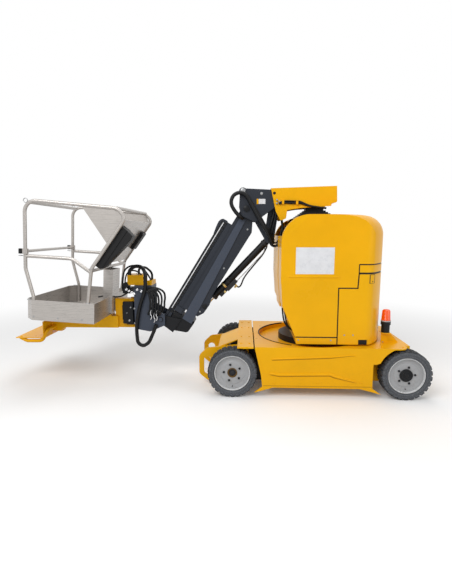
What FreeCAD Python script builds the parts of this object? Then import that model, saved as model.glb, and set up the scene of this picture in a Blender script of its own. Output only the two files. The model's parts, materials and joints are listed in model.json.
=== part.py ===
import FreeCAD, Part
import math
import os

import Sketcher
from FreeCAD import Placement, Rotation, Vector

# Electric vertical mast lift: wheeled chassis, slewing turret, telescopic mast, jib and basket.
# Frame: +X to the rear, -X to the basket, +Z up. Places along X are written from the middle of the
# wheelbase, and every node is moved by -centre_x, so that the origin is under the middle of the lift.

doc = FreeCAD.newDocument("MastLift")
sheet = doc.addObject("Spreadsheet::Sheet", "Dims")
nodes = []


class Size:
    """A length or angle that carries both its value and the sheet expression it comes from."""

    def __init__(self, value, text):
        self.value = float(value)
        self.text = text

    def __add__(self, other):
        other = as_size(other)
        return Size(self.value + other.value, f"({self.text} + {other.text})")

    def __sub__(self, other):
        other = as_size(other)
        return Size(self.value - other.value, f"({self.text} - {other.text})")

    def __mul__(self, other):
        other = as_size(other)
        return Size(self.value * other.value, f"{self.text} * {other.text}")

    def __truediv__(self, other):
        other = as_size(other)
        return Size(self.value / other.value, f"{self.text} / {other.text}")

    def __neg__(self):
        return Size(-self.value, f"(0 - {self.text})")

    __radd__ = __add__
    __rmul__ = __mul__

    def __rsub__(self, other):
        return as_size(other) - self


def as_size(thing):
    if isinstance(thing, Size):
        return thing
    return Size(thing, f"({float(thing)!r})")


def sine(angle):
    return Size(math.sin(math.radians(angle.value)), f"sin({angle.text})")


def cosine(angle):
    return Size(math.cos(math.radians(angle.value)), f"cos({angle.text})")


sheet_rows = []


def dim(alias, value):
    """Write one driving dimension, in mm or degrees, in the sheet."""
    row = len(sheet_rows) + 1
    sheet.set(f"A{row}", alias)
    sheet.set(f"B{row}", repr(value))
    sheet.setAlias(f"B{row}", alias)
    sheet_rows.append(alias)
    return Size(value, f"Dims.{alias}")


def bind(thing, path, size):
    thing.setExpression(path, as_size(size).text)


# ---------------------------------------------------------------- building blocks

def box(name, x, y, z):
    """Block between the low and high ends given for each axis."""
    thing = doc.addObject("Part::Box", name)
    bind(thing, "Length", x[1] - x[0])
    bind(thing, "Width", y[1] - y[0])
    bind(thing, "Height", z[1] - z[0])
    bind(thing, "Placement.Base.x", x[0])
    bind(thing, "Placement.Base.y", y[0])
    bind(thing, "Placement.Base.z", z[0])
    return thing


def rod(name, axis, at, radius, span):
    """Cylinder along one axis; `at` holds its two other coordinates in the order x, y, z."""
    thing = doc.addObject("Part::Cylinder", name)
    bind(thing, "Radius", radius)
    bind(thing, "Height", span[1] - span[0])
    turns = {"X": Rotation(Vector(0, 1, 0), 90), "Y": Rotation(Vector(1, 0, 0), -90), "Z": Rotation()}
    thing.Placement = Placement(Vector(), turns[axis])
    places = list(at)
    places.insert("XYZ".index(axis), span[0])
    for letter, place in zip("xyz", places):
        bind(thing, f"Placement.Base.{letter}", place)
    return thing


def profile(name, plane, points, span, rounds=None):
    """Body padded from a closed outline; `rounds` gives fillet radii by the outline's corner number."""
    body = doc.addObject("PartDesign::Body", name)
    sketch = body.newObject("Sketcher::SketchObject", f"{name}_outline")
    planes = [item for item in body.Origin.OriginFeatures if item.Role == f"{plane}_Plane"]
    sketch.AttachmentSupport = (planes[0], "")
    sketch.MapMode = "FlatFace"
    corners = [(as_size(a), as_size(b)) for a, b in points]
    count = len(corners)
    for index in range(count):
        start, end = corners[index], corners[(index + 1) % count]
        sketch.addGeometry(Part.LineSegment(Vector(start[0].value, start[1].value, 0),
                                            Vector(end[0].value, end[1].value, 0)))
    for index in range(count):
        sketch.addConstraint(Sketcher.Constraint("Coincident", index, 2, (index + 1) % count, 1))
    for index, corner in enumerate(corners):
        for kind, size in zip(("DistanceX", "DistanceY"), corner):
            number = sketch.addConstraint(Sketcher.Constraint(kind, index, 1, size.value))
            bind(sketch, f"Constraints[{number}]", size)
    # the XZ plane faces -Y, so its pad starts from the high end
    bind(sketch, "AttachmentOffset.Base.z", -as_size(span[1]) if plane == "XZ" else span[0])
    pad = body.newObject("PartDesign::Pad", f"{name}_pad")
    pad.Profile = sketch
    bind(pad, "Length", span[1] - span[0])
    if rounds:
        doc.recompute([sketch, pad])
        round_corners(body, pad, plane, corners, rounds)
    return body


def round_corners(body, pad, plane, corners, rounds):
    """Fillet the edges that stand on the numbered corners of a padded outline."""
    first, second = {"XY": ("x", "y"), "XZ": ("x", "z"), "YZ": ("y", "z")}[plane]
    base = pad
    for step, (radius, numbers) in enumerate(rounds):
        edges = []
        for number in numbers:
            a, b = corners[number][0].value, corners[number][1].value
            for index, edge in enumerate(base.Shape.Edges, 1):
                if all(abs(getattr(v.Point, first) - a) < 0.01 and abs(getattr(v.Point, second) - b) < 0.01
                       for v in edge.Vertexes):
                    edges.append(f"Edge{index}")
        fillet = body.newObject("PartDesign::Fillet", f"{body.Name}_round{step}")
        fillet.Base = (base, edges)
        bind(fillet, "Radius", radius)
        doc.recompute([fillet])
        base = fillet


def cut(name, base, *tools):
    thing = doc.addObject("Part::Cut", name)
    thing.Base = base
    thing.Tool = tools[0] if len(tools) == 1 else fuse(f"{name}_tools", *tools)
    return thing


def fuse(name, *pieces):
    thing = doc.addObject("Part::MultiFuse", name)
    thing.Shapes = list(pieces)
    return thing


def common(name, *pieces):
    thing = doc.addObject("Part::MultiCommon", name)
    thing.Shapes = list(pieces)
    return thing


def mirrored(name, source):
    """The same piece on the other side of the lift's middle plane."""
    thing = doc.addObject("Part::Mirroring", name)
    thing.Source = source
    thing.Normal = Vector(0, 1, 0)
    return thing


def both_sides(name, source):
    return fuse(name, source, mirrored(f"{name}_far", source))


def tube(name, points, radius, bends=None):
    """Round tube along straight runs joined by tangent arcs."""
    route = [Vector(*[as_size(value).value for value in point]) for point in points]
    edges, start = [], route[0]
    for index in range(1, len(route) - 1):
        corner = route[index]
        back = (route[index - 1] - corner)
        ahead = (route[index + 1] - corner)
        turn = math.pi - back.getAngle(ahead)
        reach = 0.45 * min(back.Length, ahead.Length)
        if bends is not None:
            reach = min(reach, as_size(bends).value * math.tan(turn / 2))
        back.normalize()
        ahead.normalize()
        into, out = corner + back * reach, corner + ahead * reach
        bend = reach / math.tan(turn / 2)
        inward = (back + ahead).normalize()
        middle = corner + inward * (bend / math.cos(turn / 2) - bend)
        edges.append(Part.LineSegment(start, into).toShape())
        edges.append(Part.Arc(into, middle, out).toShape())
        start = out
    edges.append(Part.LineSegment(start, route[-1]).toShape())
    section = Part.Wire(Part.Circle(route[0], route[1] - route[0], as_size(radius).value).toShape())
    thing = doc.addObject("Part::Feature", name)
    thing.Shape = Part.Wire(edges).makePipeShell([section], True, True)
    return thing


def node(label, piece, base=(0, 0, 0), tilt=0):
    """Name a finished sub-part and stand it in the lift's own frame."""
    holder = doc.addObject("Part::Compound", f"{label}_node")
    holder.Links = [piece]
    holder.Label = label
    holder.Placement = Placement(Vector(), Rotation(Vector(0, 1, 0), 1))
    bind(holder, "Placement.Rotation.Angle", tilt)
    bind(holder, "Placement.Base.x", base[0] - centre_x)
    bind(holder, "Placement.Base.y", base[1])
    bind(holder, "Placement.Base.z", base[2])
    nodes.append(holder)
    return holder


# ---------------------------------------------------------------- driving dimensions (mm, degrees)

wheelbase = dim("wheelbase", 1650)
overall_width = dim("overall_width", 1200)
tyre_radius = dim("tyre_radius", 240)
tyre_width = dim("tyre_width", 150)
rim_radius = dim("rim_radius", 178)
king_pin_inset = dim("king_pin_inset", 160)
steer_arm = dim("steer_arm", 110)
seat = dim("seat", 0.3)
deck_top = dim("deck_top", 500)
deck_plate = dim("deck_plate", 12)
body_inset = dim("body_inset", 20)
floor_clearance = dim("floor_clearance", 100)
turret_bottom = dim("turret_bottom", 515)
turret_inset = dim("turret_inset", 80)
tail_radius = dim("tail_radius", 690)
turret_front = dim("turret_front", 370)
turret_top = dim("turret_top", 1750)
cover_wall = dim("cover_wall", 8)
panel_line = dim("panel_line", 12)
stage_length = dim("stage_length", 1190)
stage_step = dim("stage_step", 20)
mast_half_depth = dim("mast_half_depth", 190)
mast_half_width = dim("mast_half_width", 165)
mast_wall = dim("mast_wall", 8)
head_half_width = dim("head_half_width", 170)
pivot_ahead = dim("pivot_ahead", 699)
floor_plate = dim("floor_plate", 40)
head_rise = dim("head_rise", 265)
pivot_drop = dim("pivot_drop", 188)
jib_angle = dim("jib_angle", 58.3)
jib_reach = dim("jib_reach", 1461)
neck_rise = dim("neck_rise", 162)
jib_half_width = dim("jib_half_width", 100)
jib_length = dim("jib_length", 1300)
swing_ahead = dim("swing_ahead", 1940)
basket_length = dim("basket_length", 700)
basket_width = dim("basket_width", 1100)
basket_height = dim("basket_height", 1150)
basket_tilt = dim("basket_tilt", 3.4)
basket_back = dim("basket_back", 2170)
basket_rise = dim("basket_rise", 36)
toe_height = dim("toe_height", 200)
rail_radius = dim("rail_radius", 17)
step_reach = dim("step_reach", 3130)

front_axle = -(wheelbase / 2)
rear_axle = wheelbase / 2
wheel_face = overall_width / 2
tyre_inner = wheel_face - tyre_width
king_pin = wheel_face - king_pin_inset
centre_x = (rear_axle + tyre_radius - step_reach) / 2
side_face = wheel_face - body_inset
turret_half = side_face - turret_inset
mast_top = turret_bottom + floor_plate + stage_length
head_under = mast_top + head_rise
pivot_height = head_under - pivot_drop
deck_under = deck_top - deck_plate

# ---------------------------------------------------------------- wheels and axles

dish_depth = dim("dish_depth", 24)
disc_thick = dim("disc_thick", 12)
rim_wall = dim("rim_wall", 18)
hub_radius = dim("hub_radius", 48)
drive_hub_radius = dim("drive_hub_radius", 62)
bolt_circle = dim("bolt_circle", 80)
bolt_radius = dim("bolt_radius", 9)
shoulder = dim("shoulder", 22)
spindle_radius = dim("spindle_radius", 26)
rim_lip = dim("rim_lip", 6)
drive_hub_proud = dim("drive_hub_proud", 10)


def wheel(place, side, axle, drive):
    """Solid tyre, dished rim with five bolts and hub; side is -1 near and 1 far."""
    tag = f"{place}_{'near' if side < 0 else 'far'}"
    outer, inner = wheel_face * side, tyre_inner * side
    low, high = (outer, inner) if side < 0 else (inner, outer)
    at = (axle, tyre_radius)
    blank = rod(f"tyre_blank_{tag}", "Y", at, tyre_radius, (low, high))
    doc.recompute()
    rolled = doc.addObject("Part::Fillet", f"tyre_rolled_{tag}")
    rolled.Base = blank
    rolled.Edges = [(index, shoulder.value, shoulder.value) for index, edge in enumerate(blank.Shape.Edges, 1)
                    if edge.Curve.TypeId == "Part::GeomCircle"]
    bore = rod(f"tyre_bore_{tag}", "Y", at, rim_radius, (low - 1, high + 1))
    node(f"tyre_{tag}", cut(f"tyre_cut_{tag}", rolled, bore))

    drum = rod(f"rim_drum_{tag}", "Y", at, rim_radius, (low + rim_lip, high - rim_lip))
    disc_out = outer - side * (dish_depth + rim_lip)
    disc_in = disc_out - side * disc_thick
    if side < 0:
        dish = rod(f"rim_dish_{tag}", "Y", at, rim_radius - rim_wall, (low, disc_out))
        back = rod(f"rim_back_{tag}", "Y", at, rim_radius - rim_wall, (disc_in, high))
        proud = (disc_out - bolt_radius, disc_in)
        hub_span = (disc_out - drive_hub_proud, disc_in)
    else:
        dish = rod(f"rim_dish_{tag}", "Y", at, rim_radius - rim_wall, (disc_out, high))
        back = rod(f"rim_back_{tag}", "Y", at, rim_radius - rim_wall, (low, disc_in))
        proud = (disc_in, disc_out + bolt_radius)
        hub_span = (disc_in, disc_out + drive_hub_proud)
    centre = drive_hub_radius if drive else hub_radius
    hole = rod(f"rim_hole_{tag}", "Y", at, centre, (low, high))
    shell = cut(f"rim_shell_{tag}", drum, dish, back, hole)
    bolts = []
    for number in range(5):
        angle = math.radians(90 + 72 * number)
        bolt_at = (axle + bolt_circle * math.cos(angle), tyre_radius + bolt_circle * math.sin(angle))
        bolts.append(rod(f"wheel_bolt_{tag}_{number}", "Y", bolt_at, bolt_radius, proud))
    hub = rod(f"hub_block_{tag}", "Y", at, centre, hub_span)
    node(f"rim_{tag}", fuse(f"rim_all_{tag}", shell, hub, *bolts))


for side in (-1, 1):
    wheel("front", side, front_axle, False)
    wheel("rear", side, rear_axle, True)

tub_front = dim("tub_front", 500)
axle_half = dim("axle_half", 45)
axle_low = dim("axle_low", 180)
axle_high = dim("axle_high", 300)
fork_arm = dim("fork_arm", 22)
fork_reach = dim("fork_reach", 34)
fork_depth = dim("fork_depth", 80)
king_gap = dim("king_gap", 0.3)

yoke_out = king_pin - fork_depth
yoke_in = yoke_out - fork_reach
beam = box("axle_beam", (front_axle - axle_half, front_axle + axle_half), (-yoke_in, yoke_in), (axle_low, axle_high))
fork_low = axle_low - fork_arm - 20
fork_high = axle_high + fork_arm + 20
yoke = box("axle_yoke", (front_axle - axle_half, front_axle + axle_half),
           (-yoke_out, -yoke_in), (fork_low, fork_high))
arm_pieces = [yoke]
for level, span in (("low", (fork_low, fork_low + fork_arm)), ("high", (fork_high - fork_arm, fork_high))):
    arm_pieces.append(box(f"fork_{level}", (front_axle - fork_reach, front_axle + fork_reach),
                          (-king_pin, -yoke_out), span))
    arm_pieces.append(rod(f"fork_boss_{level}", "Z", (front_axle, -king_pin), fork_reach, span))
fork = fuse("axle_fork", *arm_pieces)
pivot_block = box("axle_pivot_block", (front_axle + axle_half - 1, -tub_front), (-60, 60), (axle_high - 70, axle_high))
node("front_axle_beam", fuse("front_axle", beam, fork, mirrored("axle_fork_far", fork), pivot_block))

knuckle_low = fork_low + fork_arm + king_gap
knuckle_high = fork_high - fork_arm - king_gap
tie_height = dim("tie_height", 195)
tie_radius = dim("tie_radius", 11)
steering_arm_half = dim("steering_arm_half", 18)
disc_plane = wheel_face - rim_lip - dish_depth - disc_thick


def knuckle(side):
    tag = "near" if side < 0 else "far"
    pin = king_pin * side
    post = rod(f"king_post_{tag}", "Z", (front_axle, pin), fork_reach - 4, (knuckle_low, knuckle_high))
    ends = (-disc_plane, -king_pin) if side < 0 else (king_pin, disc_plane)
    spindle = rod(f"spindle_{tag}", "Y", (front_axle, tyre_radius), spindle_radius, ends)
    arm = box(f"steering_arm_{tag}", (front_axle, front_axle + steer_arm),
              (pin - steering_arm_half, pin + steering_arm_half), (tie_height + tie_radius + seat, tie_height + 30))
    eye = rod(f"steering_eye_{tag}", "Z", (front_axle + steer_arm, pin), steering_arm_half,
              (tie_height + tie_radius + seat, tie_height + 30))
    node(f"steering_knuckle_{tag}", fuse(f"knuckle_{tag}", post, spindle, arm, eye))


knuckle(-1)
knuckle(1)
tie_x = front_axle + steer_arm
tie_bar = rod("tie_bar", "Y", (tie_x, tie_height), tie_radius, (-king_pin, king_pin))
tie_ends = [rod(f"tie_end_{k}", "Z", (tie_x, king_pin * k), steering_arm_half, (tie_height - tie_radius, tie_height + tie_radius))
            for k in (-1, 1)]
node("tie_rod", fuse("tie_rod_all", tie_bar, *tie_ends))

motor_radius = dim("motor_radius", 98)
motor_inset = dim("motor_inset", 20)
motor_face = tyre_inner - motor_inset
rear_beam = box("rear_beam", (rear_axle - 60, rear_axle + 60), (-motor_face, motor_face), (180, 300))
rear_motor = rod("rear_motor", "Y", (rear_axle, tyre_radius), motor_radius, (-(tyre_inner + 45), -(motor_face - 90)))
rear_shaft = rod("rear_shaft", "Y", (rear_axle, tyre_radius), spindle_radius, (-disc_plane, -(tyre_inner + 45)))
drive = fuse("rear_drive", rear_motor, rear_shaft)
node("rear_axle_drives", fuse("rear_axle", rear_beam, both_sides("rear_drives", drive)))

# ---------------------------------------------------------------- chassis

side_plate = dim("side_plate", 12)
side_front = dim("side_front", 610)
side_foot = dim("side_foot", 536)
side_rear = dim("side_rear", 512)
arch_gap = dim("arch_gap", 35)
arch_sill = dim("arch_sill", 345)
front_cant = dim("front_cant", 226)
deck_rear = dim("deck_rear", 840)
tail_rear = dim("tail_rear", 900)
toe_drop = dim("toe_drop", 46)
toe_reach = dim("toe_reach", 60)
well_radius = dim("well_radius", 555)
well_floor = dim("well_floor", 452)
wall_sheet = dim("wall_sheet", 8)

toe_root = floor_clearance - 14
side_outline = [(-side_front, deck_under), (-(side_front - 61), front_cant), (-side_foot, floor_clearance + 6),
                (-(side_front + 4), toe_drop), (-(side_foot - toe_reach), toe_root),
                (-(side_foot - toe_reach * 1.7), floor_clearance), (side_rear - toe_reach * 2, floor_clearance),
                (side_rear - toe_reach, toe_root), (side_foot + toe_reach, toe_drop + 2),
                (side_rear, floor_clearance + 6), (side_rear, arch_sill), (side_rear + 30, arch_sill),
                (side_rear + 194, arch_sill + 55), (side_rear + 194, deck_under)]
side = profile("side_sheet", "XZ", side_outline, (-side_face, -(side_face - side_plate)))
arch = rod("arch_cut", "Y", (rear_axle, tyre_radius), tyre_radius + arch_gap, (-side_face - 1, -tyre_inner))
side = cut("side_arched", side, arch)
deck_outline = [(-side_front, -side_face), (deck_rear, -side_face), (deck_rear, side_face), (-side_front, side_face)]
deck = profile("deck_sheet", "XY", deck_outline, (deck_under, deck_top), [(90, (1, 2))])
tub_y = (-(side_face - side_plate), side_face - side_plate)
tub_rear = side_rear - 40
tub = box("tub_block", (-tub_front, tub_rear), tub_y, (floor_clearance + 8, deck_under))
tub_hollow = box("tub_hollow", (-(tub_front - side_plate), tub_rear - side_plate),
                 (tub_y[0] + side_plate, tub_y[1] - side_plate), (floor_clearance + 20, deck_under - 1))
tail_half = tyre_inner - motor_inset
tail = box("tail_block", (tub_rear, tail_rear), (-tail_half, tail_half), (floor_clearance + 30, deck_under))
tail_hollow = box("tail_hollow", (tub_rear - 1, tail_rear - 10), (-(tail_half - 10), tail_half - 10),
                  (floor_clearance + 29, deck_under - 1))
axle_slot = box("axle_slot", (rear_axle - 62, rear_axle + 62), (-tail_half - 1, tail_half + 1), (178, 302))
motor_slot = rod("motor_slot", "Y", (rear_axle, tyre_radius), motor_radius + 1, (-tail_half - 1, tail_half + 1))
tail = cut("tail_shell", tail, tail_hollow, axle_slot, motor_slot)
ballast_half = side_face - 200
node("chassis_ballast", box("ballast_block", (-(tub_front - side_plate), tub_rear - side_plate),
                            (-ballast_half, ballast_half), (floor_clearance + 20, 300)))

# round well in the deck, in which the turret stands
well_wall = rod("well_wall", "Z", (0, 0), well_radius + wall_sheet, (well_floor - wall_sheet, deck_under))
well_room = rod("well_room", "Z", (0, 0), well_radius, (well_floor, deck_top + 1))
node("chassis_frame", cut("chassis_all", fuse("chassis_body", both_sides("chassis_sides", side), deck,
                                              cut("tub_shell", tub, tub_hollow), tail, well_wall), well_room))

nose_plate = dim("nose_plate", 20)
nose_half = dim("nose_half", 250)
nose_reach = dim("nose_reach", 1180)
nose_base = dim("nose_base", 45)
nose_top = dim("nose_top", 396)
nose_outline = [(-tub_front, floor_clearance + 10), (-(nose_reach - 300), nose_base + 15),
                (-(nose_reach - 90), nose_base), (-nose_reach, nose_base + 75), (-nose_reach, nose_top - 76),
                (-(nose_reach - 80), nose_top), (-(nose_reach - 380), nose_top + 37), (-tub_front, nose_top + 40)]
lug = profile("lug_sheet", "XZ", nose_outline, (-(nose_half + nose_plate), -nose_half),
              [(60, (2, 3)), (70, (4,)), (60, (5,))])
lug_eye_radius = dim("lug_eye_radius", 38)
lug_eye_x = -(nose_reach - 88)
eye_span = (-(nose_half + nose_plate + 10), -(nose_half - 10))
lug_eye = fuse("lug_eye", rod("lug_eye_low", "Y", (lug_eye_x, nose_base + 105), lug_eye_radius, eye_span),
               rod("lug_eye_high", "Y", (lug_eye_x, nose_top - 128), lug_eye_radius, eye_span),
               box("lug_eye_mid", (lug_eye_x - lug_eye_radius, lug_eye_x + lug_eye_radius), eye_span,
                   (nose_base + 105, nose_top - 128)))
axle_window = box("axle_window", (front_axle - 70, front_axle + steer_arm + 40), eye_span, (165, 320))
lug = cut("lug_cut", lug, lug_eye, axle_window)
node("nose_lugs", both_sides("nose_lugs_pair", lug))

nose_sheet = dim("nose_sheet", 8)
hood_front = nose_reach - 195
strip_front = side_front + 170
hood_outline = [(-(side_front + 10), deck_under), (-strip_front, deck_under), (-hood_front, nose_top + 9),
                (-hood_front, nose_base + 60), (-(hood_front - 12), nose_base + 60), (-(hood_front - 12), nose_top - 1),
                (-(strip_front - 2), deck_under - nose_sheet), (-(side_front + 10), deck_under - nose_sheet)]
hood = profile("nose_hood_sheet", "XZ", hood_outline, (-nose_half, nose_half), [(18, (2,))])
strip = box("strip_plate", (-(strip_front - 2), -(side_front + 12)), (-(side_face + 10), side_face + 10),
            (deck_under, deck_top + 4))
node("nose_cover", fuse("nose_cover_all", hood, strip))

guard_reach = dim("guard_reach", 165)
guard_y = nose_half + nose_plate + 13
guard = box("wheel_guard_plate", (-(tub_front + guard_reach), -tub_front), (-(guard_y + side_plate), -guard_y),
            (floor_clearance - 30, deck_under - seat))
node("wheel_guards", both_sides("wheel_guards_pair", guard))

lug_rear = dim("lug_rear", 985)
lug_bore = dim("lug_bore", 25)
lug_level = dim("lug_level", 220)
rear_lug_outline = [(tail_rear, -(nose_half + 60)), (lug_rear, -(nose_half + 60)), (lug_rear, -(nose_half - 40)),
                    (tail_rear, -(nose_half - 40))]
rear_lug = profile("rear_lug_sheet", "XY", rear_lug_outline, (lug_level - 10, lug_level + 10), [(40, (1, 2))])
lug_hole = rod("rear_lug_hole", "Z", (lug_rear - 45, -(nose_half + 10)), lug_bore, (lug_level - 11, lug_level + 11))
node("tie_down_lugs", both_sides("rear_lugs_pair", cut("rear_lug_cut", rear_lug, lug_hole)))

ring_radius = dim("ring_radius", 340)
node("slew_ring", rod("slew_ring_block", "Z", (0, 0), ring_radius, (well_floor, turret_bottom)))

beacon_back = dim("beacon_back", 690)
beacon_side = dim("beacon_side", 330)
beacon_radius = dim("beacon_radius", 47)
stand = profile("beacon_stand_sheet", "XZ",
                [(beacon_back - 40, deck_top), (beacon_back + 130, deck_top), (beacon_back + 42, deck_top + 100),
                 (beacon_back - 40, deck_top + 100)], (-(beacon_side + 3), -(beacon_side - 3)))
stand_top = box("beacon_shelf", (beacon_back - 42, beacon_back + 42), (-(beacon_side + 45), -(beacon_side - 45)),
                (deck_top + 96, deck_top + 102))
node("beacon_bracket", fuse("beacon_bracket_all", stand, stand_top))
socket = rod("beacon_foot", "Z", (beacon_back, -beacon_side), beacon_radius - 7, (deck_top + 102, deck_top + 180))
socket_ring = rod("beacon_ring", "Z", (beacon_back, -beacon_side), beacon_radius, (deck_top + 180, deck_top + 214))
node("beacon_socket", fuse("beacon_socket_all", socket, socket_ring))
node("beacon_lens", rod("beacon_glass", "Z", (beacon_back, -beacon_side), beacon_radius - 2,
                        (deck_top + 214, deck_top + 334)))

# ---------------------------------------------------------------- turret

turret_skirt = dim("turret_skirt", 62)
crown_round = dim("crown_round", 262)
rear_round = dim("rear_round", 110)
tail_crown = dim("tail_crown", 190)
door_front = dim("door_front", 180)
door_step = dim("door_step", 360)
door_sill = dim("door_sill", 1062)
door_top = dim("door_top", 1200)
band_top = dim("band_top", 1280)


def rounded_edges(name, form, radius, chosen):
    """The form with the edges rounded whose bounding box is `chosen`."""
    doc.recompute()
    rounded = doc.addObject("Part::Fillet", name)
    rounded.Base = form
    rounded.Edges = [(index, radius.value, radius.value) for index, edge in enumerate(form.Shape.Edges, 1)
                     if chosen(edge.BoundBox)]
    return rounded


def turret_form(name, inset):
    """The turret's outer form, or the same form drawn in by `inset` on every side but the bottom."""
    slab = box(f"{name}_slab", (-turret_front + inset, tail_radius), (-turret_half + inset, turret_half - inset),
               (turret_bottom, turret_top + 50))
    drum = rod(f"{name}_drum", "Z", (0, 0), tail_radius - inset, (turret_bottom, turret_top + 50))
    plan = rounded_edges(f"{name}_plan", common(f"{name}_flat_plan", slab, drum), rear_round - inset,
                         lambda size: size.XLength < 0.01 and size.YLength < 0.01 and size.XMin > 0)
    front = -turret_front + inset
    top = turret_top - inset
    outline = [(front + 160, turret_bottom), (front + 145, turret_bottom + 78), (front + 20, turret_bottom + 369),
               (front, turret_bottom + 635), (front, top), (tail_radius + 2, top), (tail_radius + 2, turret_bottom)]
    rise = profile(f"{name}_rise", "XZ", outline, (-turret_half, turret_half),
                   [(crown_round - inset, (4,))])
    tail = rod(f"{name}_tail", "Z", (0, 0), tail_radius - inset, (turret_bottom, top))
    crown = rounded_edges(f"{name}_crown", tail, tail_crown - inset, lambda size: size.ZMin > turret_bottom.value + 10)
    return common(f"{name}_form", plan, rise, crown)


inner_form = turret_form("turret_inner", cover_wall)
shell = cut("turret_shell", turret_form("turret_outer", as_size(0)), inner_form)
backing = cut("turret_backing", inner_form, turret_form("turret_backing_room", cover_wall * 2))
far = tail_radius + 20
half_line = panel_line / 2


def rear_region(name, grow, y_span):
    """The stepped region behind the panel line, grown outwards by `grow`."""
    return profile(name, "XZ",
                   [(door_front - grow, turret_bottom - 10), (far, turret_bottom - 10), (far, door_top + grow),
                    (door_step - grow, door_top + grow), (door_step - 6 - grow, door_sill + grow),
                    (door_front - 4 - grow, door_sill + grow)], y_span)


band_region = box("band_region", (door_step + 5, far), (-turret_half - 5, turret_half + 5),
                  (door_top + panel_line, band_top))
back_region = box("back_region", (door_step - 30, far), (-turret_half, turret_half),
                  (door_top + panel_line, band_top + 40))
band_cut = box("band_cut", (door_step - half_line, far), (-turret_half - 5, turret_half + 5),
               (door_top - 1, band_top + panel_line))
skirt_top = turret_bottom + turret_skirt
skirt_region = box("skirt_region", (-turret_front, door_front - half_line), (-turret_half, turret_half),
                   (turret_bottom, skirt_top))
skirt_cut = box("skirt_cut", (-turret_front, door_front), (-turret_half, turret_half),
                (turret_bottom, skirt_top + panel_line))
mast_slot_half = mast_half_width + 35
slot_top = turret_top - 200
mast_slot = box("mast_slot", (-(turret_front + 10), -(turret_front - 60)), (-mast_slot_half, mast_slot_half),
                (turret_bottom + 20, slot_top + 10))
crown_half = turret_half - 70
crown_slot = box("crown_slot", (-(turret_front + 10), -(mast_half_depth + 39)), (-crown_half, crown_half),
                 (slot_top, turret_top + 20))
roof_slot = box("roof_slot", (-(mast_half_depth + 40), mast_half_depth + 25),
                (-(mast_half_width + 25), mast_half_width + 25), (slot_top, turret_top + 20))
node("turret_cover", cut("turret_cover_all", shell, rear_region("cover_door_cut", half_line, (-600, 600)),
                         band_cut, skirt_cut, mast_slot, crown_slot, roof_slot))
rear_panels = common("rear_panels", shell, rear_region("door_region", -half_line, (-600, 600)))
near_half = box("near_half", (0, far), (-600, -half_line), (turret_bottom - 20, band_top))
far_half = box("far_half", (0, far), (half_line, 600), (turret_bottom - 20, band_top))
notch = box("panel_notch", (380, 464), (-600, -300), (turret_bottom - 20, turret_bottom + 49))
node("rear_panel_near", cut("rear_panel_near_all", common("rear_panel_near_form", rear_panels, near_half), notch))
hinge_x = dim("hinge_x", 180)
hinge_out = dim("hinge_out", 4)
hinge_radius = dim("hinge_radius", 5.5)
hinge_long = dim("hinge_long", 70)
hinge_parts = []
for tag, low in (("low", turret_bottom + 85), ("high", turret_bottom + 445)):
    hinge_parts += [rod(f"hinge_barrel_{tag}", "Z", (hinge_x, turret_half + hinge_out), hinge_radius,
                        (low, low + hinge_long)),
                    box(f"hinge_leaf_{tag}", (hinge_x, hinge_x + 34), (turret_half - 1, turret_half + 3),
                        (low, low + hinge_long))]
node("rear_door_far", fuse("rear_door_far_all", common("rear_door_far_form", rear_panels, far_half), *hinge_parts))
node("rear_band", fuse("rear_band_all", common("rear_band_form", shell, band_region),
                       common("rear_band_back", backing, back_region)))

mast_foot = turret_bottom + floor_plate
floor_plan = common("floor_plan", turret_form("floor_form", cover_wall + seat),
                    box("floor_slab", (-200, tail_radius), (-turret_half, turret_half), (turret_bottom, mast_foot)))
skirt_join = box("skirt_join", (-180, door_front - half_line), (-(turret_half - 1), turret_half - 1),
                 (turret_bottom, turret_bottom + 12))
node("turret_base", fuse("turret_base_all", floor_plan, common("skirt_form", shell, skirt_region), skirt_join))

battery_front = dim("battery_front", 230)
node("counterweight", box("counterweight_block", (battery_front + 190, 600), (-300, 300),
                          (mast_foot, mast_foot + 495)))
node("battery_pack", both_sides("battery_pair", box("battery_block", (-150, battery_front + 150), (-470, -250),
                                                    (mast_foot, mast_foot + 395))))

# ---------------------------------------------------------------- mast

stage_gap = dim("stage_gap", 10)
pad_play = dim("pad_play", 0.3)
top_lip = dim("top_lip", 15)
stage_count = 5


def mast_section(name, number, top):
    """Rectangular tube of the nested mast, with slide pads that close the play at its two ends."""
    inset = stage_step * number
    deep, wide = mast_half_depth - inset, mast_half_width - inset
    low = mast_foot + stage_gap * number
    outer = box(f"{name}_outer", (-deep, deep), (-wide, wide), (low, top))
    inner = box(f"{name}_inner", (-(deep - mast_wall), deep - mast_wall), (-(wide - mast_wall), wide - mast_wall),
                (low - 1, top + 1))
    walls = cut(f"{name}_walls", outer, inner)
    play = stage_step - mast_wall
    pieces = [walls]
    if number:
        skirt = box(f"{name}_pad_outer", (-(deep + play - pad_play), deep + play - pad_play),
                    (-(wide + play - pad_play), wide + play - pad_play),
                    (low, low + 60))
        hole = box(f"{name}_pad_inner", (-(deep - 1), deep - 1), (-(wide - 1), wide - 1), (low - 1, low + 61))
        pieces.append(cut(f"{name}_pads", skirt, hole))
    if number < stage_count:
        collar = box(f"{name}_lip_outer", (-deep, deep), (-wide, wide), (top - 60, top))
        room = box(f"{name}_lip_inner", (-(deep - stage_step + pad_play), deep - stage_step + pad_play),
                   (-(wide - stage_step + pad_play), wide - stage_step + pad_play), (top - 61, top + 1))
        pieces.append(cut(f"{name}_lip", collar, room))
    return fuse(f"{name}_all", *pieces)


node("mast_column", mast_section("mast_column", 0, mast_top))
for number in range(1, stage_count + 1):
    stage_top = mast_top + top_lip * number if number < stage_count else head_under
    node(f"mast_stage_{number}", mast_section(f"mast_stage_{number}", number, stage_top))

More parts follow.
